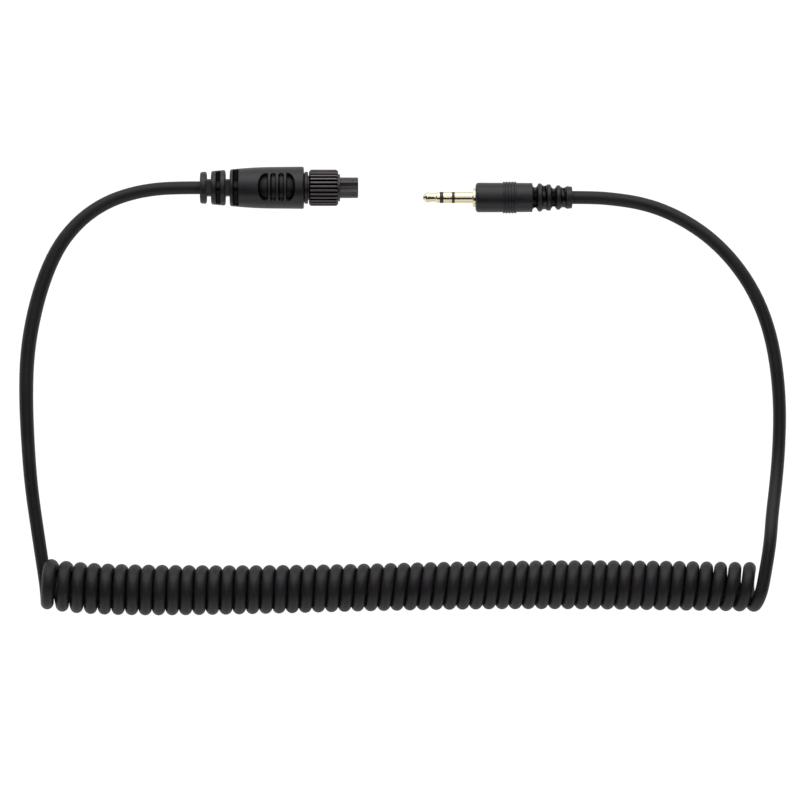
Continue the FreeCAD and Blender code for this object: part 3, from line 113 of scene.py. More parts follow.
# Least sine or cosine that a radius is divided by.
TINY = 1e-6
# Painted shade: near-black colour painted in cavities and grooves that light hardly reaches.
PAINTED_CAVITY_SHADE = (0.0012, 0.001, 0.001)
# Energy of an area light for each square metre and unit of radiance.
ENERGY_PER_RADIANCE = 4


def length_property(name, description, default):
    return FloatProperty(name=name, description=description, default=default, unit="LENGTH")


def colour_property(name, description, default):
    return FloatVectorProperty(name=name, description=description, default=default, subtype="COLOR")


class CordSettings(bpy.types.PropertyGroup):
    diameter: length_property("Diameter", "Outside of the jacket", 0.00286)
    curl_radius: length_property("Curl radius", "Coil axis to cord axis", 0.00385)
    curl_pitch: length_property("Curl pitch", "Turn to turn, before the ends spread", 0.002978)
    colour: colour_property("Jacket", "Colour of the jacket", (0.0093, 0.0079, 0.0094))


class CameraPlugSettings(bpy.types.PropertyGroup):
    ridges: IntProperty(name="Ridges", description="Ridges round the locking ring", default=28)
    ridge_depth: length_property("Ridge depth", "Depth of the ring's grooves", 0.00034)
    thread_pitch: length_property("Thread pitch", "Pitch of the ring's thread", 0.0005)
    moulding_colour: colour_property("Moulding", "Colour of both mouldings", (0.0084, 0.0082, 0.0104))
    ring_colour: colour_property("Ring", "Colour of the locking ring", (0.117, 0.101, 0.107))
    barrel_colour: colour_property("Barrel", "Colour of the plug's barrel", (0.05, 0.046, 0.049))


class JackSettings(bpy.types.PropertyGroup):
    plating_colour: colour_property("Plating", "Colour of the contacts", (0.95, 0.87, 0.61))
    insulator_colour: colour_property("Insulator", "Colour of the rings", (0.018, 0.012, 0.01))


class StageSettings(bpy.types.PropertyGroup):
    field: length_property("Field", "Width of the view at the plugs", 0.176)
    distance: length_property("Distance", "Camera to the plugs", 1.2)
    centre: FloatVectorProperty(
        name="Centre",
        description="Point under the camera",
        size=2,
        default=(0.003025, -0.04622),
        unit="LENGTH",
    )
    light: FloatProperty(name="Light", description="Level of both soft lights", default=1.0)


class ReleaseCordSettings(bpy.types.PropertyGroup):
    cord: PointerProperty(type=CordSettings)
    camera_plug: PointerProperty(type=CameraPlugSettings)
    jack: PointerProperty(type=JackSettings)
    stage: PointerProperty(type=StageSettings)


def settings():
    return bpy.context.scene.release_cord


def smooth(value, start, end):
    """0 up to start, 1 from end on, and t*t*(3-2t) of the share t between them.

    Where end is less than start, it grows downwards.
    """
    share = np.clip((value - start) / (end - start), 0, 1)
    return share * share * (3 - 2 * share)


def bell(value, middle, width):
    """exp(-u*u) of the distance u from the middle, in widths."""
    return np.exp(-(((value - middle) / width) ** 2))


def stepped(value, first, steps):
    """first plus each step (from, to, change) that value has passed, smoothly."""
    for start, end, change in steps:
        first = first + change * smooth(value, start, end)
    return first


def profile(corners, longest=None, closed=True, spans=None):
    """Points (x, radius) along a profile whose corners are (x, radius, rounding).

    A rounded corner is replaced by the arc centre + rounding * (cos a, sin a) that touches both of
    its sides. Stretches longer than longest are divided evenly, only in the spans if there are any:
    each is (from x, to x, least radius).
    """
    parts = []
    count = len(corners)
    for index, (x, radius, rounding) in enumerate(corners):
        here = np.array((x, radius), float)
        if not rounding:
            parts.append(here[None])
            continue
        back = np.array(corners[index - 1][:2], float) - here
        ahead = np.array(corners[(index + 1) % count][:2], float) - here
        back /= np.linalg.norm(back)
        ahead /= np.linalg.norm(ahead)
        half = math.acos(np.clip(back @ ahead, -1, 1)) / 2
        middle = (back + ahead) / np.linalg.norm(back + ahead)
        centre = here + middle * rounding / math.sin(half)
        start = here + back * rounding / math.tan(half) - centre
        end = here + ahead * rounding / math.tan(half) - centre
        first = math.atan2(start[1], start[0])
        sweep = math.atan2(start[0] * end[1] - start[1] * end[0], start @ end)
        steps = max(2, math.ceil(abs(sweep) / ARC_STEP))
        angle = first + sweep * np.linspace(0, 1, steps + 1)
        parts.append(centre + rounding * np.stack([np.cos(angle), np.sin(angle)], axis=1))
    points = np.concatenate(parts)
    if longest is None:
        return points
    after = np.roll(points, -1, axis=0) if closed else points[1:]
    before = points if closed else points[:-1]
    pieces = []
    for here, there in zip(before, after):
        x, radius = (here + there) / 2
        inside = spans is None or any(start < x < end and radius > least for start, end, least in spans)
        steps = max(1, math.ceil(np.linalg.norm(there - here) / longest)) if inside else 1
        pieces.append(here + (there - here) * np.linspace(0, 1, steps, endpoint=False)[:, None])
    if not closed:
        pieces.append(points[-1:])
    return np.concatenate(pieces)


def angles(around):
    """Angles round a full turn: 2 pi k / around, for k from 0 up to around."""
    return 2 * math.pi * np.arange(around) / around


def grid(points, around):
    """x of a profile's points as a column, and their radius repeated for each angle."""
    return points[:, :1], np.repeat(points[:, 1:], around, axis=1)


def turned(x, radius, at, around, centre=(0.0, 0.0)):
    """Grid of points (x, radius cos a, radius sin a) round a plug's axis, in metres.

    radius is one number per x, or a row of numbers round the axis per x. centre moves the axis
    sideways inside the plug.
    """
    angle = angles(around)
    reach = np.broadcast_to(radius[:, None] if radius.ndim == 1 else radius, (len(x), around))
    points = np.empty((len(x), around, 3))
    points[..., 0] = x[:, None] + at[0]
    points[..., 1] = reach * np.cos(angle) + at[1] + centre[0]
    points[..., 2] = reach * np.sin(angle) + at[2] + centre[1]
    return points * MM


def skin(points, closed=True, first=0):
    """Corners and faces over a grid of points whose columns close round the axis.

    The rows close too, or else the first and the last row are one point each. first is the number
    of corners that the mesh already has.
    """
    rows, columns = points.shape[:2]
    if closed:
        corners = points.reshape(-1, 3)
        index = np.arange(rows * columns).reshape(rows, columns)
        index = np.vstack([index, index[:1]])
    else:
        corners = np.concatenate([points[0, :1], points[1:-1].reshape(-1, 3), points[-1, :1]])
        index = 1 + np.arange((rows - 2) * columns).reshape(-1, columns)
    index = index + first
    across = np.roll(index, -1, axis=1)
    quads = np.stack([index[:-1], across[:-1], across[1:], index[1:]], axis=-1)
    faces = quads.reshape(-1, 4).tolist()
    if not closed:
        pole = np.full(columns, first)
        faces += np.stack([pole, across[0], index[0]], axis=-1).tolist()
        pole = np.full(columns, first + len(corners) - 1)
        faces += np.stack([index[-1], across[-1], pole], axis=-1).tolist()
    return corners, faces


def put(name, grids, body, nodes, material, closed=True, painted_light=None):
    """Makes one piece of one or more grids, smooth but for its creases, riding on its body.

    The last argument holds one number per point of painted light and shade, which the material reads as
    the light that the point gets: at 0 it paints the cavity shade.
    """
    corners = []
    faces = []
    total = 0
    for points in grids:
        new_corners, new_faces = skin(points, closed, total)
        corners.append(new_corners)
        faces += new_faces
        total += len(new_corners)
    mesh = bpy.data.meshes.new(name)
    mesh.from_pydata(np.concatenate(corners), [], faces)
    mesh.polygons.foreach_set("use_smooth", np.ones(len(faces), bool))
    if painted_light is not None:
        layer = mesh.attributes.new("painted_light", "FLOAT", "POINT")
        layer.data.foreach_set("value", painted_light.astype(np.float32).ravel())
    mesh.update()
    mesh.set_sharp_from_angle(angle=CREASE)
    mesh.materials.append(material)
    piece = bpy.data.objects.new(name, mesh)
    bpy.context.scene.collection.objects.link(piece)
    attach(piece, body)
    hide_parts(*nodes)


def add(tree, kind, place, **values):
    """A node at a place in its tree, with its inputs or settings given by name."""
    node = tree.nodes.new(kind)
    node.location = place
    for name, value in values.items():
        if name in node.inputs:
            node.inputs[name].default_value = value
        else:
            setattr(node, name, value)
    return node


def join(tree, *pairs):
    """Links each pair of an output and an input."""
    for start, end in pairs:
        tree.links.new(start, end)


def compute(tree, operation, place, *terms):
    """Output of a Math node whose terms are numbers or other nodes' outputs."""
    node = add(tree, "ShaderNodeMath", place, operation=operation)
    for socket, term in zip(node.inputs, terms):
        if isinstance(term, (int, float)):
            socket.default_value = term
        else:
            join(tree, (term, socket))
    return node.outputs[0]


def shade_group():
    """Group that varies a colour and a roughness in patches and gives the height of a fine grain."""
    name = "Handled surface"
    if name in bpy.data.node_groups:
        return bpy.data.node_groups[name]
    tree = bpy.data.node_groups.new(name, "ShaderNodeTree")
    inputs = (
        ("Colour", "NodeSocketColor", (0.5, 0.5, 0.5, 1)),
        ("Worn colour", "NodeSocketColor", (0.6, 0.6, 0.6, 1)),
        ("Grain size", "NodeSocketFloat", 0.1),
        ("Patch size", "NodeSocketFloat", 3.0),
        ("Roughness", "NodeSocketFloat", 0.5),
        ("Spread", "NodeSocketFloat", 0.1),
    )
    outputs = {"Colour": "NodeSocketColor", "Roughness": "NodeSocketFloat", "Height": "NodeSocketFloat"}
    for label, kind, value in inputs:
        tree.interface.new_socket(label, in_out="INPUT", socket_type=kind).default_value = value
    for label, kind in outputs.items():
        tree.interface.new_socket(label, in_out="OUTPUT", socket_type=kind)
    inside = add(tree, "NodeGroupInput", (-900, 0))
    outside = add(tree, "NodeGroupOutput", (600, 0))
    where = add(tree, "ShaderNodeTexCoord", (-900, 300))
    noises = []
    for label, row, detail, roughness in (("Grain size", 250, 2.0, 0.55), ("Patch size", -150, 4.0, 0.6)):
        scale = compute(tree, "DIVIDE", (-650, row), 1 / MM, inside.outputs[label])
        noise = add(tree, "ShaderNodeTexNoise", (-400, row), Detail=detail, Roughness=roughness)
        join(tree, (where.outputs["Object"], noise.inputs["Vector"]), (scale, noise.inputs["Scale"]))
        noises.append(noise)
    grain, patch = noises
    patch_range = {"From Min": 0.35, "From Max": 0.7}
    share = add(tree, "ShaderNodeMapRange", (-150, -150), **patch_range)
    colour = add(tree, "ShaderNodeMix", (150, 100), data_type="RGBA")
    centred = compute(tree, "SUBTRACT", (50, -200), share.outputs["Result"], 0.5)
    terms = (centred, inside.outputs["Spread"], inside.outputs["Roughness"])
    rough = compute(tree, "MULTIPLY_ADD", (250, -200), *terms)
    join(
        tree,
        (patch.outputs[0], share.inputs["Value"]),
        (share.outputs["Result"], colour.inputs["Factor"]),
        (inside.outputs["Colour"], colour.inputs["A"]),
        (inside.outputs["Worn colour"], colour.inputs["B"]),
        (colour.outputs["Result"], outside.inputs["Colour"]),
        (rough, outside.inputs["Roughness"]),
        (grain.outputs[0], outside.inputs["Height"]),
    )
    return tree


def finish_material(
    name, colour, worn, roughness, spread, grain, patch, depth, metallic=0.0, specular=0.5, painted_shade=None
):
    """A material whose colour, roughness and grain come from the shared group.

    The colour changes to worn in patches, and the roughness by spread. patch, grain and depth are
    the patches' size and the grain's size and height in millimetres. The last argument is a colour of
    painted shade, painted where the piece's own painted light attribute is 0, in the cavities that
    light hardly reaches. It is metallic there, so that a cavity mirrors no more than that colour,
    which paints out its reflection too.
    """
    if name in bpy.data.materials:
        return bpy.data.materials[name]
    material = bpy.data.materials.new(name)
    material.use_nodes = True
    tree = material.node_tree
    shader = tree.nodes["Principled BSDF"]
    shader.inputs["Metallic"].default_value = metallic
    shader.inputs["Specular IOR Level"].default_value = specular
    surface = add(tree, "ShaderNodeGroup", (-500, 0), node_tree=shade_group())
    values = {
        "Colour": (*colour, 1),
        "Worn colour": (*worn, 1),
        "Roughness": roughness,
        "Spread": spread,
        "Grain size": grain,
        "Patch size": patch,
    }
    for label, value in values.items():
        surface.inputs[label].default_value = value
    bump = add(tree, "ShaderNodeBump", (-250, -250), Strength=1.0, Distance=depth * MM)
    join(
        tree,
        (surface.outputs["Height"], bump.inputs["Height"]),
        (bump.outputs["Normal"], shader.inputs["Normal"]),
        (surface.outputs["Roughness"], shader.inputs["Roughness"]),
    )
    if painted_shade is None:
        join(tree, (surface.outputs["Colour"], shader.inputs["Base Color"]))
        return material
    # Painted light and shade: where the piece's attribute falls to 0, the colour turns to the painted
    # cavity shade and the surface turns metallic, which paints out its reflection.
    painted_light = add(tree, "ShaderNodeAttribute", (-500, 300), attribute_name="painted_light")
    mix = add(tree, "ShaderNodeMix", (-250, 200), data_type="RGBA")
    mix.inputs["A"].default_value = (*painted_shade, 1)
    metal = compute(tree, "MULTIPLY_ADD", (-250, 400), painted_light.outputs["Fac"], metallic - 1, 1)
    join(
        tree,
        (painted_light.outputs["Fac"], mix.inputs["Factor"]),
        (surface.outputs["Colour"], mix.inputs["B"]),
        (mix.outputs["Result"], shader.inputs["Base Color"]),
        (metal, shader.inputs["Metallic"]),
    )
    return material


def shifted(colour, factor):
    return tuple(channel * factor for channel in colour)


def vinyl():
    colour = settings().camera_plug.moulding_colour
    return finish_material(
        "moulded vinyl", colour, shifted(colour, 1.25), roughness=0.36, spread=0.08,
        grain=0.16, patch=4.0, depth=0.006, specular=0.42, painted_shade=PAINTED_CAVITY_SHADE,
    )


def jacket():
    colour = settings().cord.colour
    return finish_material(
        "cord jacket", colour, shifted(colour, 1.3), roughness=0.44, spread=0.08,
        grain=0.3, patch=6.0, depth=0.005, specular=0.3,
    )


def plating():
    colour = settings().jack.plating_colour
    return finish_material(
        "gold plating", colour, shifted(colour, 0.94), roughness=0.16, spread=0.08,
        grain=0.12, patch=1.5, depth=0.0015, metallic=1.0,
    )


def barrel_metal():
    colour = settings().camera_plug.barrel_colour
    return finish_material(
        "black plated metal", colour, shifted(colour, 1.3), roughness=0.3, spread=0.1,
        grain=0.1, patch=2.0, depth=0.002, metallic=0.7,
    )


def ring_metal():
    colour = settings().camera_plug.ring_colour
    return finish_material(
        "ring plating", colour, shifted(colour, 1.2), roughness=0.36, spread=0.12,
        grain=0.12, patch=1.2, depth=0.003, metallic=0.8, painted_shade=PAINTED_CAVITY_SHADE,
    )


def gloss_insulator():
    colour = settings().jack.insulator_colour
    return finish_material(
        "insulating plastic", colour, shifted(colour, 1.4), roughness=0.25, spread=0.1,
        grain=0.1, patch=1.0, depth=0.002,
    )


def inner_plastic():
    return finish_material(
        "inner plastic", (0.72, 0.7, 0.64), (0.6, 0.58, 0.5), roughness=0.55, spread=0.1,
        grain=0.3, patch=3.0, depth=0.01,
    )


def wire_insulation():
    return finish_material(
        "wire insulation", (0.55, 0.12, 0.1), (0.45, 0.1, 0.08), roughness=0.4, spread=0.1,
        grain=0.2, patch=2.0, depth=0.005,
    )


def tinned_brass():
    return finish_material(
        "tinned brass", (0.62, 0.6, 0.55), (0.5, 0.47, 0.4), roughness=0.4, spread=0.15,
        grain=0.1, patch=0.8, depth=0.003, metallic=1.0,
    )


def spring_steel():
    return finish_material(
        "spring steel", (0.55, 0.55, 0.56), (0.4, 0.4, 0.41), roughness=0.3, spread=0.1,
        grain=0.08, patch=0.8, depth=0.002, metallic=1.0,
    )


def rectangle(name, width, depth, material):
    """A flat rectangle round the middle of its own x and y, as a piece of the stage."""
    half_x, half_y = width / 2, depth / 2
    corners = [(-half_x, -half_y, 0), (half_x, -half_y, 0), (half_x, half_y, 0), (-half_x, half_y, 0)]
    mesh = bpy.data.meshes.new(name)
    mesh.from_pydata(corners, [], [(0, 1, 2, 3)])
    mesh.materials.append(material)
    flat = bpy.data.objects.new(name, mesh)
    bpy.context.scene.collection.objects.link(flat)
    return flat


class RELEASECORD_OT_stage(bpy.types.Operator):
    """White table and surroundings, two long soft lights and the camera straight above"""

    bl_idname = "release_cord.stage"
    bl_label = "Stage"

    def execute(self, context):
        choice = settings().stage
        scene = context.scene
        scene.view_settings.view_transform = "Standard"
        self.world(scene)
        self.table()
        self.lights(choice.light)
        camera = bpy.data.objects.new("camera", bpy.data.cameras.new("camera"))
        scene.collection.objects.link(camera)
        camera.location = (*choice.centre, CAMERA_PLUG_AT[2] * MM + choice.distance)
        camera.data.lens = camera.data.sensor_width * choice.distance / choice.field
        camera.data.clip_start = 0.05
        camera.data.clip_end = 20
        scene.camera = camera
        return {"FINISHED"}

    def seen(self, tree, place, mirrored=1.0):
        """1 for rays that see the background straight or through glass, mirrored for a reflection."""
        x, y = place
        path = add(tree, "ShaderNodeLightPath", place)
        glossy = compute(tree, "MULTIPLY", (x, y - 200), path.outputs["Is Glossy Ray"], mirrored)
        straight = compute(tree, "MAXIMUM", (x + 200, y), path.outputs["Is Camera Ray"], glossy)
        return compute(tree, "MAXIMUM", (x + 400, y), straight, path.outputs["Is Transmission Ray"])

    def world(self, scene):
        world = bpy.data.worlds.new("studio")
        scene.world = world
        world.use_nodes = True
        tree = world.node_tree
        tree.nodes.clear()
        light = add(tree, "ShaderNodeBackground", (0, 100), Color=(1, 1, 1, 1), Strength=0.6)
        white = add(tree, "ShaderNodeBackground", (0, -100), Color=(1, 1, 1, 1), Strength=1.0)
        mix = add(tree, "ShaderNodeMixShader", (250, 0))
        out = add(tree, "ShaderNodeOutputWorld", (450, 0))
        join(
            tree,
            (self.seen(tree, (-600, 300)), mix.inputs[0]),
            (light.outputs[0], mix.inputs[1]),
            (white.outputs[0], mix.inputs[2]),
            (mix.outputs[0], out.inputs[0]),
        )

    def table(self):
        """A pale diffuse table, which rays that see it straight find white but for the shadow."""
        width = 6.0
        material = bpy.data.materials.new("white table")
        material.use_nodes = True
        tree = material.node_tree
        tree.nodes.clear()
        bounce = add(tree, "ShaderNodeBsdfDiffuse", (0, 200), Color=(0.8, 0.8, 0.8, 1))
        shade = add(tree, "ShaderNodeBsdfDiffuse", (0, 0), Color=(0.18, 0.18, 0.18, 1))
        glow = add(tree, "ShaderNodeEmission", (0, -150), Color=(1, 1, 1, 1), Strength=0.94)
        both = add(tree, "ShaderNodeAddShader", (250, -50))
        mix = add(tree, "ShaderNodeMixShader", (450, 100))
        out = add(tree, "ShaderNodeOutputMaterial", (650, 100))
        join(
            tree,
            (shade.outputs[0], both.inputs[0]),
            (glow.outputs[0], both.inputs[1]),
            (self.seen(tree, (-600, 400), mirrored=0.2), mix.inputs[0]),
            (bounce.outputs[0], mix.inputs[1]),
            (both.outputs[0], mix.inputs[2]),
            (mix.outputs[0], out.inputs[0]),
        )
        rectangle("table", width, width, material)

    def lights(self, level):
        """Two long panels slant over the table, each with its dark back.

        Dark cards hang over the table too: a strip along it, one at each end and one over each lead.
        """
        # Panels: name, degrees off the vertical towards +y, depth in metres, radiance.
        lamps = (("key_light", 60, 0.8, 1.5), ("fill_light", -64, 0.62, 0.6))
        length, reach = 2.4, 0.9
        back_length, back_share, back_reach = 2.5, 1.04, 0.93
        strip_tilt, strip_depth = math.radians(24), 0.74
        # Pairs of cards: name, place on the right and size in metres, own axis that looks up.
        pairs = (
            ("dark_end_", (0.9, 0, 0.6), (1.1, 1.7), "X"),
            ("dark_top_", (0.47, 0.06, 0.99), (0.62, 0.62), "Y"),
        )
        black = bpy.data.materials.new("dark card")
        black.use_nodes = True
        shader = black.node_tree.nodes["Principled BSDF"]
        shader.inputs["Base Color"].default_value = (0.01, 0.01, 0.01, 1)
        shader.inputs["Roughness"].default_value = 1.0
        for name, degrees, depth, radiance in lamps:
            light = bpy.data.lights.new(name, "AREA")
            light.shape = "RECTANGLE"
            light.size = length
            light.size_y = depth
            light.energy = ENERGY_PER_RADIANCE * light.size * light.size_y * radiance * level
            lamp = bpy.data.objects.new(name, light)
            bpy.context.scene.collection.objects.link(lamp)
            tilt = math.radians(degrees)
            towards = Vector((0, math.sin(tilt), math.cos(tilt)))
            lamp.location = reach * towards
            lamp.rotation_euler = (-tilt, 0, 0)
            lamp.visible_camera = False
            self.card(name + "_back", back_reach * towards, (back_length, depth * back_share), black)
        place = (0, -math.sin(strip_tilt), math.cos(strip_tilt))
        self.card("dark_strip", place, (length, strip_depth), black)
        for end, side in (("left", -1), ("right", 1)):
            for name, (x, y, z), size, up in pairs:
                self.card(name + end, (x * side, y, z), size, black, up)

    def card(self, name, place, size, material, up="Y"):
        """A card square to its line from the object, which shows in reflections only."""
        card = rectangle(name, *size, material)
        card.location = place
        card.rotation_euler = Vector(place).to_track_quat("Z", up).to_euler()
        card.visible_camera = False
        card.visible_diffuse = False
        card.visible_shadow = False
        card.visible_transmission = False


class RELEASECORD_OT_cord(bpy.types.Operator):
    """The whole free cord as one smooth line: two leads and the coil between them"""

    bl_idname = "release_cord.cord"
    bl_label = "Coiled cord"

    # Start of the coil in mm, share of the pitch before the first crest, loss of pitch per turn.
    start_x, first_pitch, tightening = -74.95, 0.3, 0.00136
    # Extra length at either end in mm, and the turns in which it fades.
    start_spread, start_reach = 0.82, 1.66
    end_spread, end_reach = 1.28, 2.94
    # Bow of the last turns on top and below in mm, the turns in which it fades, and its delay.
    over_bow, over_reach, over_delay = 0.45, 2.0, 0.25
    under_bow, under_reach = 0.72, 1.6
    # Lean of the turns at the start, and steps of lean and radius: from x, to x, change, in mm.
    first_lean = -0.76
    lean_steps = ((-34, 12, 1.0), (28, 50, -0.26), (64, 82, 0.81))
    radius_steps = ((-5, -72, 0.41), (-8, 75, 0.22))
    # The axis from above, in mm: its y and slope, its one long wave, and its hook at the start.
    axis_y, slope = -87.42, 0.0032
    wave_height, wave_crest, wave_length = 0.47, -43.3, 155.4
    hook, hook_start, hook_reach = 1.24, -75, 7.2
    # Changes of girth, as shares of the diameter. The first has its middle and width in control
    # points, the second in turns from near the coil's end, and the third sets in there.
    full_share, full_point, full_width = 0.15, 8, 3.0
    slim_share, slim_turn, slim_width = 0.04, -3.2, 1.8
    jack_share, jack_reach = 0.015, 0.3

    def coil(self, angle, grow=1.0):
        """Points of the coil at each angle, 0 at the first near crest, in mm.

        x grows by the pitch per turn, a little less towards the far end and more at both ends, and
        leans by -lean/2 cos a. The last turns bow towards the far end on top and away from it below.
        The cord goes round (y, z) = axis + grow * radius * (-cos a, sin a). The axis wanders
        sideways in one long wave, and is so high that the turns touch the table.
        """
        sizes = settings().cord
        turn = angle / (2 * math.pi)
        turn = np.where(turn < 0, self.first_pitch * turn, turn)
        x = self.start_x + sizes.curl_pitch / MM * turn - self.tightening * turn**2
        opening = self.start_spread * (1 - np.exp(-turn / self.start_reach))
        x = x + opening + self.end_spread * np.exp((turn - CURLS) / self.end_reach)
        sine, cosine = np.sin(angle), np.cos(angle)
        over = np.maximum(sine, 0) ** 2 * np.exp((turn - CURLS - self.over_delay) / self.over_reach)
        under = np.minimum(sine, 0) ** 2 * np.exp((turn - CURLS) / self.under_reach)
        x = x + self.over_bow * over - self.under_bow * under
        lean = stepped(x, self.first_lean, self.lean_steps)
        radius = stepped(x, sizes.curl_radius / MM, self.radius_steps)
        phase = 2 * math.pi * (x - self.wave_crest) / self.wave_length
        wave = self.slope * x - self.wave_height * np.cos(phase)
        axis = self.axis_y + wave + self.hook * np.exp(-(x - self.hook_start) / self.hook_reach)
        height = radius + sizes.diameter / MM / 2
        x = x - lean / 2 * cosine
        return np.stack([x, axis - grow * radius * cosine, height + grow * radius * sine], axis=-1)

    def girth(self, count):
        """Thickness at each control point, as a share of the diameter.

        The camera plug's lead is fuller along one stretch, the coil's last turns are slimmer, and
        the jack's lead is a little fuller again.
        """
        number = np.arange(count)
        from_end = (number - count + len(JACK_LEAD)) / POINTS_PER_CURL
        girth = 1 + self.full_share * bell(number, self.full_point, self.full_width)
        slim = self.slim_share * bell(from_end, self.slim_turn, self.slim_width)
        return girth - slim + self.jack_share * smooth(from_end, 0, self.jack_reach)

    def route(self):
        """Control points from the camera plug through the coil to the jack in mm, and their girth.

        The spline touches the middle of each of its control runs, so the coil's points stand at
        radius / cos(half a step). One point on the coil's tangent leads in, and one leads out.
        """
        sizes = settings().cord
        step = 2 * math.pi / POINTS_PER_CURL
        nudge = 0.01
        first = -math.pi / 2
        last = 2 * math.pi * CURLS + math.pi / 2
        curls = self.coil(np.arange(first + step / 2, last, step), 1 / math.cos(step / 2))
        ends = self.coil(np.array([first, first + nudge, last - nudge, last]))
        arriving = (ends[1] - ends[0]) / np.linalg.norm(ends[1] - ends[0])
        leaving = (ends[3] - ends[2]) / np.linalg.norm(ends[3] - ends[2])
        lift = sizes.diameter / MM / 2 - SOLID_CORD_RADIUS
        near = step / 2 * sizes.curl_radius / MM
        exit_camera = np.array(CAMERA_PLUG_AT)
        exit_jack = np.array(JACK_AT) + (JACK_LENGTH, 0, 0)
        points = np.concatenate(
            [
                [exit_camera, exit_camera - (EXIT_RUN, 0, 0)],
                np.array(CAMERA_LEAD) + (0, 0, lift),
                [ends[0] - arriving * near],
                curls,
                [ends[3] + leaving * near],
                np.array(JACK_LEAD[::-1]) + (0, 0, lift),
                [exit_jack + (EXIT_RUN, 0, 0), exit_jack - (END_TUCK, 0, 0)],
            ]
        )
        girth = self.girth(len(points))
        points[:, 2] += (girth - 1) * sizes.diameter / MM / 2
        return points, girth

    def execute(self, context):
        sizes = settings().cord
        points, girth = self.route()
        curve = bpy.data.curves.new("release_cord", "CURVE")
        curve.dimensions = "3D"
        curve.bevel_depth = sizes.diameter / 2
        curve.bevel_resolution = 8
        curve.resolution_u = 4
        curve.use_fill_caps = True
        spline = curve.splines.new("NURBS")
        spline.points.add(len(points) - 1)
        four = np.column_stack([points * MM, np.ones(len(points))])
        spline.points.foreach_set("co", four.astype(np.float32).ravel())
        spline.points.foreach_set("radius", girth.astype(np.float32))
        spline.order_u = 3
        spline.use_endpoint_u = True
        spline.use_smooth = True
        curve.materials.append(jacket())
        cord = bpy.data.objects.new("release_cord", curve)
        context.scene.collection.objects.link(cord)
        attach(cord, "cord_and_plugs")
        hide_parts("lead_camera_end", "coil", "lead_jack_end")
        return {"FINISHED"}


